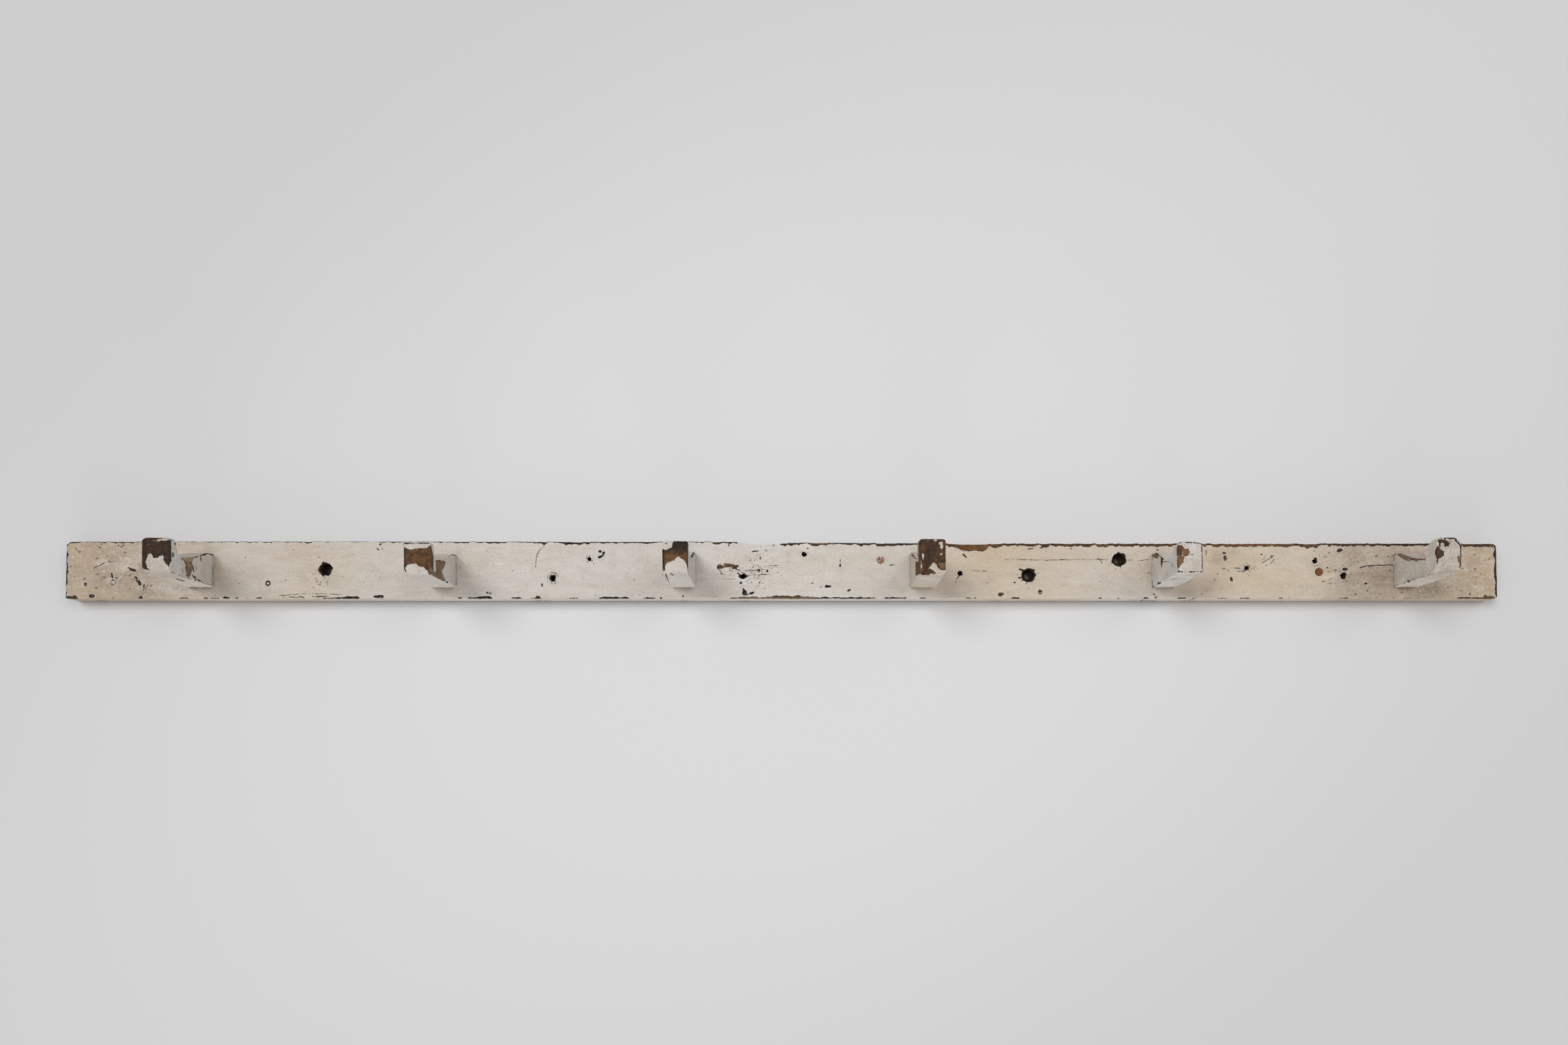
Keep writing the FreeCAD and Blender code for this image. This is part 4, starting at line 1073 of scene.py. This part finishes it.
# Each list reads in order. A patch is the face it is on, the wood's tone there, and the columns and
# rows of its outline in pixels; where the tone is None the patch is paint that has stayed on.
PATCHES_PX = {
    1: [
        ("front", 0.26, 196, 760, 250, 760, 250, 812, 246, 816, 242, 812, 236, 822, 214, 824, 196, 812),
        ("front", 0.36, 238, 782, 250, 776, 250, 814, 243, 813, 237, 806, 239, 794),
        ("front", 0.48, 241.5, 790, 250, 782, 250, 814, 243, 813, 241, 804),
        ("front", None, 222.6, 775.4, 228, 773.6, 237, 771.4, 250, 771, 250, 774.2, 240, 775.2, 229,
         776.2),
        ("front", None, 209, 806, 211, 800, 212, 795.5, 215, 794.5, 218.5, 797, 219, 801, 227.5, 801, 228,
         797.8, 233, 797.3, 236, 800.5, 234, 803.5, 237, 808, 241, 812.5, 245, 817, 252, 822, 252, 834,
         216, 830, 211.5, 818, 209.5, 811),
        ("side", 0.76, 259.2, 799.7, 268.3, 799.3, 278.3, 799.7, 285.8, 798.8, 281.7, 800.5, 276.7, 803,
         275, 807.5, 277, 815, 275.3, 820, 273.3, 826.7, 270.8, 828.7, 268.3, 827.5, 269.5, 821.7, 266.7,
         816.7, 267.8, 810, 265.8, 805.8, 260.8, 803.7),
        ("side", 0.92, 259.2, 799.7, 285.8, 798.8, 281.7, 800.5, 276.7, 803, 274, 806, 267, 806, 260.8,
         803.7),
        ("side", 0.2, 250.6, 779.6, 252.7, 779.6, 252.7, 782, 250.6, 782),
        ("side", 0.15, 247.4, 792.5, 249.8, 792.5, 249.6, 799.6, 247.6, 799.6),
        ("side", 0.15, 287.8, 798.8, 289.6, 798.8, 289.2, 805, 288.2, 805),
    ],
    2: [
        ("front", 0.47, 566, 787, 580, 785.4, 584, 787.6, 589.5, 789, 595.7, 787.6, 600, 786.7, 606.4,
         787.6, 613.6, 785.8, 617, 783.6, 630, 783, 632, 833, 617, 831, 613, 834, 566, 828),
        ("front", None, 579, 816, 582, 814, 585, 810.5, 592, 809, 597.5, 808.6, 599.5, 813, 608, 814, 610,
         816.6, 613.6, 820.5, 615, 826.4, 620, 833, 617, 842, 580, 842, 581, 821),
        ("side", 0.74, 626, 805, 637.7, 805, 639, 807.7, 636, 816.6, 634, 819.3, 636, 827.3, 639.5, 834.5,
         643, 839, 636.8, 836.7, 624.3, 833.6, 617, 830, 618, 812, 622.5, 819.3, 627, 821.5),
        ("side", 0.08, 640.4, 834.5, 644, 835.5, 644, 839.8, 640.8, 838.4),
    ],
    3: [
        ("front", 0.2, 942, 768, 996, 768, 996, 822, 942, 822),
        ("front", 0.32, 942, 786, 955, 789, 966, 786, 978, 789, 996, 785, 996, 822, 942, 822),
        ("front", 0.42, 942, 791, 953, 793, 966, 789.6, 979, 793.5, 996, 790, 996, 822, 942, 822),
        ("front", 0.54, 953.4, 797.5, 965, 794, 974, 796, 983, 797, 984.6, 798, 984.6, 822, 953.4, 822),
        ("front", None, 946, 779.1, 955.4, 775.4, 960.7, 774, 967, 776.4, 963.4, 780, 964.7, 785.4, 959.8,
         788, 954.5, 789.4, 946, 785),
        ("front", 0.1, 955, 779, 957.6, 779, 957.6, 781.8, 955.4, 781.8),
        ("front", None, 953.6, 819, 953.6, 815.7, 955, 810.4, 958, 806.8, 964.3, 805.4, 968.8, 804, 968.8,
         801.4, 973.2, 798.8, 978.6, 801.4, 983, 806, 985.7, 810.4, 987, 817.5, 994, 822, 994, 852, 954,
         852, 953.6, 826),
        ("front", 0.12, 961, 825.5, 966, 825.5, 966, 828, 962, 828.4),
    ],
    4: [
        ("front", 0.38, 1306, 764, 1364, 764, 1364, 821, 1356, 828, 1308, 830),
        ("front", 0.4, 1322.6, 775, 1326, 774.6, 1327, 786, 1325.6, 802, 1323.6, 812, 1322.4, 798),
        ("front", 0.6, 1314, 806, 1321, 804, 1324, 812, 1322, 823, 1314, 825),
        ("front", 0.05, 1319.8, 777, 1321.2, 777, 1321.2, 783, 1319.8, 783),
        ("front", None, 1306, 825.8, 1316.8, 825.5, 1328.4, 825.5, 1342.7, 823.3, 1340, 819.3, 1332.9,
         815.7, 1339.1, 807.2, 1341.3, 807.2, 1348, 817.5, 1355.2, 818.4, 1366, 818.4, 1366, 856, 1306,
         856),
        ("front", 0.72, 1346, 808, 1355.5, 808, 1355.5, 817, 1349, 815.5),
        ("front", None, 1340, 773, 1345, 773.4, 1344, 776.4, 1340.6, 776),
        ("front", None, 1347, 777, 1352.8, 777.6, 1353.8, 786, 1351, 788, 1348.6, 783),
        ("front", None, 1350, 794, 1352, 794, 1352, 796.2, 1350, 796.2),
        ("front", None, 1323.5, 795, 1325.8, 795, 1326, 803, 1324, 803),
        ("front", None, 1321.4, 806, 1322.8, 806, 1322.8, 815, 1321.4, 815),
        ("side", 0.45, 1313.6, 806, 1319, 806, 1319, 826, 1313.6, 826),
        ("side", 0.72, 1306, 797, 1312, 794.5, 1319.5, 794, 1317, 799, 1310, 800),
    ],
    5: [
        ("front", 0.46, 1686, 781, 1697, 782.7, 1699, 787, 1697, 792, 1698, 797, 1686, 799),
        ("front", 0.62, 1697, 787, 1706, 788, 1708.3, 792, 1706.5, 796.5, 1699.8, 798.8, 1697, 797),
        ("front", 0.68, 1686, 797, 1699.8, 797.8, 1698.5, 804, 1700, 806.5, 1695.5, 809.5, 1691.8, 816.5,
         1686, 815),
        ("front", 0.25, 1723.6, 783, 1732, 783, 1732, 807, 1725.4, 807),
        ("side", 0.66, 1652.5, 795.4, 1663, 796, 1661, 801.4, 1654, 800),
        ("side", 0.34, 1665, 799, 1668.4, 801, 1668.2, 806, 1667, 815, 1666, 815, 1665.2, 806),
        ("side", 0.08, 1660.5, 836, 1665, 836, 1664, 840, 1661, 840),
    ],
    6: [
        ("front", 0.3, 2063.2, 773.8, 2073.9, 774.2, 2081, 778.7, 2078.8, 785, 2073, 784.5, 2072.6, 780,
         2068.6, 779.1, 2067.7, 784.5, 2066, 784.5, 2064.1, 778.2),
        ("front", 0.4, 2056, 784.5, 2066, 784.5, 2066.8, 788, 2072.6, 791.6, 2072.1, 797, 2067.7, 800.5,
         2064.6, 801.4, 2056, 798),
        ("front", 0.28, 2096.2, 786, 2104, 786, 2104, 812, 2095, 812),
        ("front", 0.74, 2091.8, 798, 2097, 798, 2096, 807.7, 2092, 807),
        ("side", 0.78, 2001, 793.6, 2010, 791.6, 2021, 791.2, 2023, 797, 2034, 798.4, 2044.5, 798.4,
         2044.5, 804, 2035, 803.4, 2031, 806.4, 2028, 803.6, 2020, 805.4, 2013, 802.4, 2007, 798.6),
        ("side", 0.45, 2021.3, 799, 2029.3, 800.6, 2043.6, 800.4, 2043.6, 803.3, 2034, 803, 2026, 804),
        ("side", 0.1, 2019, 832.6, 2022.6, 832.6, 2022.6, 836.4, 2019, 836.4),
    ],
}
# Cracks and dark lines: the face, half width in millimetres, tone, and the line's columns and rows
LINES_PX = {
    1: [
        ("side", 0.5, 0.05, 274.4, 807.7, 277, 813, 278, 822),
        ("side", 0.5, 0.05, 276.2, 825.5, 281, 831.8), ("side", 0.45, 0.15, 280.2, 811.3, 282.4, 815.7),
        ("side", 0.4, 0.3, 272, 795.6, 281, 795.6), ("side", 0.4, 0.55, 266, 814, 268, 822, 267, 828),
        ("side", 0.4, 0.6, 271, 818, 272, 828),
        ("side", 0.3, 0.4, 245.4, 821, 258, 826, 270.4, 830.4, 288, 835, 302, 839.6),
        ("side", 0.4, 0.25, 262, 815, 263.5, 823),
        ("side", 0.8, 0.3, 265, 805, 268, 812, 267.4, 820, 270, 827),
        ("side", 0.6, 0.1, 279, 826.8, 283, 831, 289, 834.6),
        ("under", 1.5, 0.08, 252, 832, 258, 833.6, 265, 835),
        ("under", 0.5, 0.3, 216, 822, 232, 827, 248, 831),
        ("front", 0.6, 0.72, 217, 775.4, 222, 776, 228, 777.4),
        ("front", 0.5, 0.5, 210, 782, 216, 781, 222, 782), ("front", 0.4, 0.5, 214, 787, 222, 788),
    ],
    2: [
        ("front", 0.6, 0.12, 584, 778.4, 600, 778.6, 615, 779.4),
        ("front", 0.8, 0.04, 580.4, 790, 579.6, 804, 580.4, 816, 584, 827),
        ("side", 0.7, 0.12, 626.6, 805.8, 626, 818.3, 629.3, 823.3),
        ("side", 0.5, 0.25, 639.3, 806.7, 636, 818.3, 635.2, 823.3, 639.3, 833.3),
        ("side", 0.6, 0.3, 624.3, 805, 632, 803.6, 639.3, 801.7, 647.7, 795),
        ("side", 0.5, 0.15, 617, 829.6, 630, 834, 641, 838.6, 652, 842),
        ("side", 0.4, 0.55, 632, 808, 631, 815, 633, 822),
        ("under", 0.6, 0.25, 587, 829.6, 596, 833.6, 604, 837, 617, 844.6),
    ],
    3: [
        ("front", 0.8, 0.04, 951.2, 790, 951.8, 804, 952.6, 814, 954.4, 826),
        ("under", 0.9, 0.03, 956.6, 824.2, 962, 825.4, 966, 827.4),
        ("under", 0.7, 0.15, 955.4, 826, 957.6, 833, 962, 842),
        ("front", 0.5, 0.08, 986, 806, 986.6, 818, 987.4, 826),
        ("side", 0.6, 0.15, 988, 812, 988.6, 822, 989.6, 832),
        ("side", 0.6, 0.8, 990.4, 796, 991, 812, 991.4, 828),
        ("side", 0.6, 0.75, 993.4, 800, 994, 822, 994.6, 838),
    ],
    4: [
        ("front", 0.5, 0.2, 1333, 778, 1332, 790, 1334, 802),
        ("front", 0.5, 0.04, 1318, 825.2, 1330, 825, 1342, 822.8),
        ("side", 0.6, 0.2, 1306, 805, 1305.6, 816, 1306.4, 829),
    ],
    5: [
        ("front", 0.8, 0.02, 1691.3, 820, 1697.6, 821.4), ("front", 0.6, 0.1, 1707, 820.6, 1710.5, 820.6),
        ("front", 0.35, 0.35, 1697, 821.4, 1710, 821, 1726, 820.4),
        ("front", 0.5, 0.05, 1707, 796, 1712, 796), ("front", 0.7, 0.2, 1686, 778.4, 1695, 778.2),
        ("front", 0.7, 0.2, 1702, 778.2, 1710, 778.2), ("front", 0.6, 0.25, 1713, 778.4, 1723, 780),
        ("side", 0.4, 0.35, 1669.5, 806.3, 1680, 806.3), ("side", 0.5, 0.25, 1680.6, 805, 1682.6, 814),
        ("side", 0.45, 0.25, 1651, 843.4, 1665, 838, 1680, 832.6, 1690, 829.4),
        ("side", 0.9, 0.3, 1660, 839.6, 1664, 838.4),
        ("side", 0.5, 0.25, 1688.4, 781, 1688.6, 800, 1689.4, 816),
        ("under", 0.9, 0.06, 1716, 829.6, 1719, 827, 1722.4, 825.4),
        ("under", 0.6, 0.08, 1718, 831, 1722, 828.6),
        ("under", 0.7, 0.15, 1681, 831.6, 1686, 830.4, 1691, 829.8),
    ],
    6: [
        ("front", 0.9, 0.1, 2089, 775, 2095, 782, 2098.3, 793.3, 2097, 810, 2093.3, 821.7, 2085, 828.3,
         2080, 830.8),
        ("side", 0.25, 0.6, 2002, 841, 2026, 832.4, 2060, 821.7),
        ("side", 0.5, 0.1, 2026.4, 832, 2028.6, 831.2),
        ("side", 0.4, 0.3, 2035.5, 795.6, 2038, 794.3, 2041, 795.2),
        ("side", 0.4, 0.45, 2027, 803, 2027, 807.7), ("side", 0.4, 0.45, 2033.3, 803, 2033.3, 807),
        ("side", 0.45, 0.1, 2012, 838.5, 2016, 838),
    ],
}
# How round each hook's front corners have worn, in millimetres: top left, top right, low left, low
# right and the lower front edge; how cream, how dirty and how scuffed its paint is; and how far its
# tip leans
HOOK_WEAR = {
    1: (6.0, 2.0, 10.0, 2.4, 4.0, 0.1, 0.85, 0.5, -2.0),
    2: (2.2, 3.0, 6.0, 1.8, 3.0, 0.0, 0.35, 0.4, 0.0),
    3: (2.2, 2.0, 6.0, 3.0, 3.0, 0.05, 0.15, 0.4, 0.0),
    4: (4.0, 4.5, 2.6, 3.0, 4.0, 0.55, 0.4, 0.7, 1.6),
    5: (5.0, 9.0, 2.4, 3.4, 2.4, -0.1, 0.35, 0.9, 0.8),
    6: (6.0, 12.0, 2.4, 12.0, 11.0, 0.3, 1.15, 1.0, 0.0),
}


def rub_hook(surface, insets, stretch, ragged):
    """Arrises where the paint has rubbed through, more on some stretches than on others."""
    left_in, right_in, top_in, front_in, _ = insets
    side_in = np.minimum(left_in, right_in)
    for first, second, width in ((side_in, front_in, 0.9), (side_in, top_in, 1.0),
                                 (front_in, top_in, 1.2)):
        reach_in = np.hypot(np.maximum(first, 0), np.maximum(second, 0))
        surface.strip(width + stretch * 1.5 - reach_in + ragged * 0.6, 0.26, 0.1, 0.6)


def soil_hook(surface, points, insets, number):
    """How cream, scuffed and dirty a hook's paint is, darker near its top and within 10 mm of the board,
    and paler on its underside and sides with painted light.
    """
    out = points[:, 1]
    left_in, right_in, top_in, _, low_in = insets
    *_, cream, dirt, scuff, _ = HOOK_WEAR[number]
    seed = number * 100
    surface.warm[:] = cream
    surface.scuff[:] = scuff
    surface.grime = dirt + 0.35 * smooth(10 - out, 0, 10) + 0.25 * smooth(4 - top_in, 0, 4)
    # Painted light: paler paint along the underside and on the sides, as though more light reached them
    surface.grime -= 0.75 * dirt * smooth(2.0 - low_in, 0, 1.6)
    surface.grime -= 0.95 * dirt * smooth(2.0 - np.minimum(left_in, right_in), 0, 1.6)
    blotches = value_noise(points, 14, seed + 4)
    surface.grime += 0.25 * np.where(blotches > 0.1, blotches, 0)
    surface.crackle = 0.35 * smooth(value_noise(points, 16, seed + 5), 0.0, 0.6)


def hook_surface(number, points, insets, faces_along, reach, lean):
    """Paint, wear and painted light on a hook's points, which are along the board, out of it and up on it.
    """
    along, out, up = points.T
    left_in, right_in, _, front_in, low_in = insets
    surface = Surface(len(along))
    seed = number * 100
    ragged = value_noise(points, 1.6, seed) * 0.6 + value_noise(points, 0.8, seed + 1) * 0.3
    rub_hook(surface, insets, value_noise(points, 11, seed + 2), ragged)

    # The face that the photograph shows from the side: the one towards the middle of the board
    shown_left = sum(faces_along) / 2 > px_along(VANISH_X_PX)
    face_along = faces_along[0] if shown_left else faces_along[1]
    face_in = left_in if shown_left else right_in

    def flat(face, x, y):
        if face == "front":
            return px_at_depth(x, y, reach)
        if face == "under":
            return px_on_underside(x, y, (up - low_in).mean())
        return px_on_side(x, y, face_along, lean)

    def on_face(face):
        if face == "front":
            return along, up, np.maximum(front_in - 1.5, 0) * 1.1
        if face == "under":
            return along, out, np.maximum(low_in - 0.8, 0) * 1.6
        return out, up, np.maximum(face_in - 0.8, 0) * 1.6

    for face, tone, *outline in PATCHES_PX[number]:
        across, above, away = on_face(face)
        spot = in_polygon(across, above, [flat(face, x, y) for x, y in pairs(outline)]) + ragged
        if face != "front":
            spot = np.minimum(spot, 1.2)
        if tone is None:
            surface.cover(spot - away * 0.3)
        else:
            surface.strip(spot - away, tone, 0.4, 1.3 if face == "front" else 0.7, True)
    for face, half_wide, tone, *line in LINES_PX[number]:
        across, above, away = on_face(face)
        gap = near_line(across, above, [flat(face, x, y) for x, y in pairs(line)])
        surface.strip(half_wide - gap - away + ragged * 0.4, tone, 0.4, 1.6, True)

    # The dark gap along the board
    gap = 0.8 + value_noise(points, 5, seed + 3) * 1.7 - out
    surface.strip(gap + ragged * 0.6, 0.12, 0.3)
    soil_hook(surface, points, insets, number)
    return surface


def even_hook(number):
    """A hook's solid as a dense, even mesh."""
    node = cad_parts[f"hook_{number}"]
    hook = bpy.data.objects.new(f"worn_hook_{number}", node.data.copy())
    bpy.context.scene.collection.objects.link(hook)
    even = hook.modifiers.new("even", "REMESH")
    even.mode = "VOXEL"
    even.voxel_size = VOXEL * MM
    apply_modifiers(hook)
    return hook


def round_hook(spots, radii, top, bottom, tip_top):
    """A hook's points with the tip's back, the long arrises and the lower front edge rounded."""
    along, out, up = spots.T
    top_left, top_right, low_left, low_right, low_front = radii
    left, right = along.min(), along.max()
    reach = out.max()
    tip = out > reach - 30
    forward = smooth(out, reach * 0.45, reach)
    back_line = reach - TIP_THICK - (tip_top - up) * TIP_SLOPE
    back_in, from_top = round_corner(out - back_line, np.where(tip, tip_top - up, 99), TIP_ROUND)
    at_back = tip & (out - back_line < TIP_ROUND) & (tip_top - up < TIP_ROUND)
    out = np.where(at_back, back_line + back_in, out)
    up = np.where(at_back, tip_top - from_top, up)
    for at_left, radius, low_radius in ((True, top_left, low_left), (False, top_right, low_right)):
        inset = along - left if at_left else right - along
        down = top - up
        rounded, below = round_corner(inset, np.where(tip, down, 99), radius)
        above_in = up - bottom
        rounded, above = round_corner(rounded, above_in, np.maximum(low_radius * forward, 0.4))
        along = left + rounded if at_left else right - rounded
        up = np.where(tip & (down < radius), top - below, up)
        up = np.where(above_in < low_radius, bottom + above, up)
    front_in, above = round_corner(reach - out, up - bottom, low_front)
    low = (reach - out < low_front) & (up - bottom < low_front)
    out = np.where(low, reach - front_in, out)
    up = np.where(low, bottom + above, up)
    return along, out, up


def make_hook(number, material):
    """One worn hook, remade from its solid."""
    hook = even_hook(number)
    mesh = hook.data
    spots = (read_points(mesh) - CORNER) * (1, -1, 1)
    along, out, up = spots.T
    reach = out.max()
    left, right = along.min(), along.max()
    root_low = up[out < 8].min()
    bottom = np.interp(out, (0, reach), (root_low, root_low + 2.2))
    places = np.linspace(0, reach, 160)
    heights = np.array([up[np.abs(out - place) < 0.8].max() for place in places])
    top = np.interp(out, places, heights)
    tip_top = heights[places > reach - 12].max()
    *radii, _, _, _, lean = HOOK_WEAR[number]
    lean = lean / reach
    insets = (along - left, right - along, top - up, reach - out, up - bottom)
    points = np.stack((along + lean * out, out, up), 1)
    surface = hook_surface(number, points, insets, (left, right), reach, lean)
    along, out, up = round_hook(spots, radii, top, bottom, tip_top)
    write_points(mesh, np.stack((along + lean * out, -out, up), 1) + CORNER)

    # Cuts that follow the wear and the knife, none where the hook sits on the board
    normals = read(mesh.vertex_normals, "vector")
    seed = number * 100
    waves = 0.35 * value_noise(points, 16, seed + 11) + 0.1
    lumps = 0.20 * value_noise(points, 5, seed + 12)
    lumps += 0.12 * value_noise(points, (2, 8, 2), seed + 13)
    seated = smooth(out, 0.2, 1.5)
    in_front = smooth(out, reach - 2.5, reach)
    cut = surface.carve + np.maximum(waves + lumps, -0.4 + 0.6 * in_front)
    places = read_points(mesh) - normals * cut[:, None] * seated[:, None]
    places[:, 1] = np.maximum(places[:, 1], CORNER[1] - reach + 0.01)
    write_points(mesh, places)
    surface.keep(mesh)
    take_place(hook, f"hook_{number}", material)


def make_hooks():
    material = painted_wood("hook_paint", (1, 16, 1), (1, 1.4, 5))
    for number in HOOKS:
        make_hook(number, material)


# Screws and old nails


def dress_fixings():
    """Materials for the screws and the old nails, which keep their solids."""
    steel = dull_steel("screw_steel")
    for number in HOOKS:
        dress(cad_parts[f"hook_{number}_screws"], steel)
    for side, look in NAIL_LOOKS.items():
        node = f"old_nail_{side}"
        dress(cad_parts[node], old_nail(f"rusty_nail_{side}", node, *look))


# Stage, light and camera

WALL_COLOUR = srgb(217, 217, 218)
# The wall's colour far from the middle: painted shade where the light falls off
WALL_FAR_SHADE = srgb(204, 204, 205)
# Each lamp's name, the direction that it shines in, its strength and its width in degrees
LAMPS = (
    ("key", (0.42, 0.88, -0.27), 1.28, 26), ("right_fill", (-0.50, 0.84, -0.25), 0.62, 34),
    ("low_fill", (0.0, 0.05, 1.0), 1.3, 40), ("back_fill", (-0.2, -0.85, -0.45), 0.4, 60),
)


def stage_material(name, one_sided):
    """A dull pale paint with painted shade that darkens it far from the middle; a one-sided one is clear
    from behind.
    """
    g = Graph(name)
    # Painted shade: darker away from the middle, most to the upper left and the lower right
    away = g.vector("LENGTH", g.vector("MULTIPLY", g.place, (0.8, 0, 1)))
    parts = g.node("ShaderNodeSeparateXYZ", {0: g.place}).outputs
    away = g.add(away, g.times(g.times(parts["X"], parts["Z"]), -0.45))
    colour = g.blend(g.limit(away, 0.2, 1.0), WALL_COLOUR, WALL_FAR_SHADE)
    g.feed(g.shader.inputs["Base Color"], colour)
    g.shader.inputs["Roughness"].default_value = 1.0
    g.shader.inputs["Specular IOR Level"].default_value = 0.0
    if one_sided:
        clear = g.node("ShaderNodeBsdfTransparent")
        behind = g.node("ShaderNodeNewGeometry").outputs["Backfacing"]
        mixed = g.node("ShaderNodeMixShader", {0: behind, 1: g.shader.outputs[0], 2: clear.outputs[0]})
        g.feed(g.tree.nodes["Material Output"].inputs["Surface"], mixed.outputs[0])
    return g.material


def sheet(name, low, high, material):
    """A flat four-sided piece between two opposite corners."""
    corners = (low, (high[0], low[1], low[2]), high, (low[0], high[1], high[2]))
    made = new_object(name, np.array(corners), [(0, 1, 2, 3)])
    made.data.materials.append(material)
    return made


def make_stage():
    """The pale wall that the rack hangs on, and a pale floor well below it."""
    wide, floor_level, wall_top, wall_gap = 4000.0, -1500.0, 2500.0, 0.4
    wall = sheet("wall", (-wide, wall_gap, floor_level), (wide, wall_gap, wall_top),
                 stage_material("wall_paint_and_shade", True))
    for ray in ("diffuse", "glossy", "transmission", "shadow"):
        setattr(wall, f"visible_{ray}", False)
    floor = sheet("floor", (-wide, -wide, floor_level), (wide, wide, floor_level),
                  stage_material("floor_paint", False))
    floor.visible_shadow = False
    floor.visible_diffuse = False


def make_sun(name, direction, strength, angle):
    """A broad soft lamp far away, shining along direction."""
    light = bpy.data.lights.new(name, "SUN")
    light.energy = strength
    light.angle = math.radians(angle)
    lamp = bpy.data.objects.new(name, light)
    bpy.context.scene.collection.objects.link(lamp)
    lamp.rotation_mode = "QUATERNION"
    lamp.rotation_quaternion = Vector(direction).to_track_quat("-Z", "Y")


def make_light():
    """The lamps, and an even sky that the camera sees in the wall's colour."""
    scene = bpy.context.scene
    scene.view_settings.view_transform = "Standard"
    world = bpy.data.worlds.new("studio")
    world.use_nodes = True
    scene.world = world
    tree = world.node_tree
    sky = tree.nodes["Background"]
    sky.inputs["Color"].default_value = (1, 1, 1, 1)
    sky.inputs["Strength"].default_value = 0.46
    seen = tree.nodes.new("ShaderNodeBackground")
    seen.inputs["Color"].default_value = WALL_COLOUR
    path = tree.nodes.new("ShaderNodeLightPath")
    mixed = tree.nodes.new("ShaderNodeMixShader")
    tree.links.new(path.outputs["Is Camera Ray"], mixed.inputs[0])
    tree.links.new(sky.outputs[0], mixed.inputs[1])
    tree.links.new(seen.outputs[0], mixed.inputs[2])
    tree.links.new(mixed.outputs[0], tree.nodes["World Output"].inputs["Surface"])
    for lamp in LAMPS:
        make_sun(*lamp)


def make_camera():
    """The camera at the photograph's place, level and shifted to its framing."""
    data = bpy.data.cameras.new("camera")
    camera = bpy.data.objects.new("camera", data)
    bpy.context.scene.collection.objects.link(camera)
    bpy.context.scene.camera = camera
    along, up = px_along(VANISH_X_PX), px_up(VANISH_Y_PX)
    camera.location = (CORNER + (along, -CAMERA_AWAY, up)) * MM
    camera.rotation_euler = (math.radians(90), 0, 0)
    data.sensor_width = 36.0
    data.lens = data.sensor_width * CAMERA_AWAY / (PHOTO_WIDE * MM_PER_PX)
    data.shift_x = (PHOTO_WIDE / 2 - VANISH_X_PX) / PHOTO_WIDE
    data.shift_y = (VANISH_Y_PX - PHOTO_HIGH / 2) / PHOTO_WIDE
    data.clip_start = 0.05


make_board()
make_hooks()
dress_fixings()
make_stage()
make_light()
make_camera()
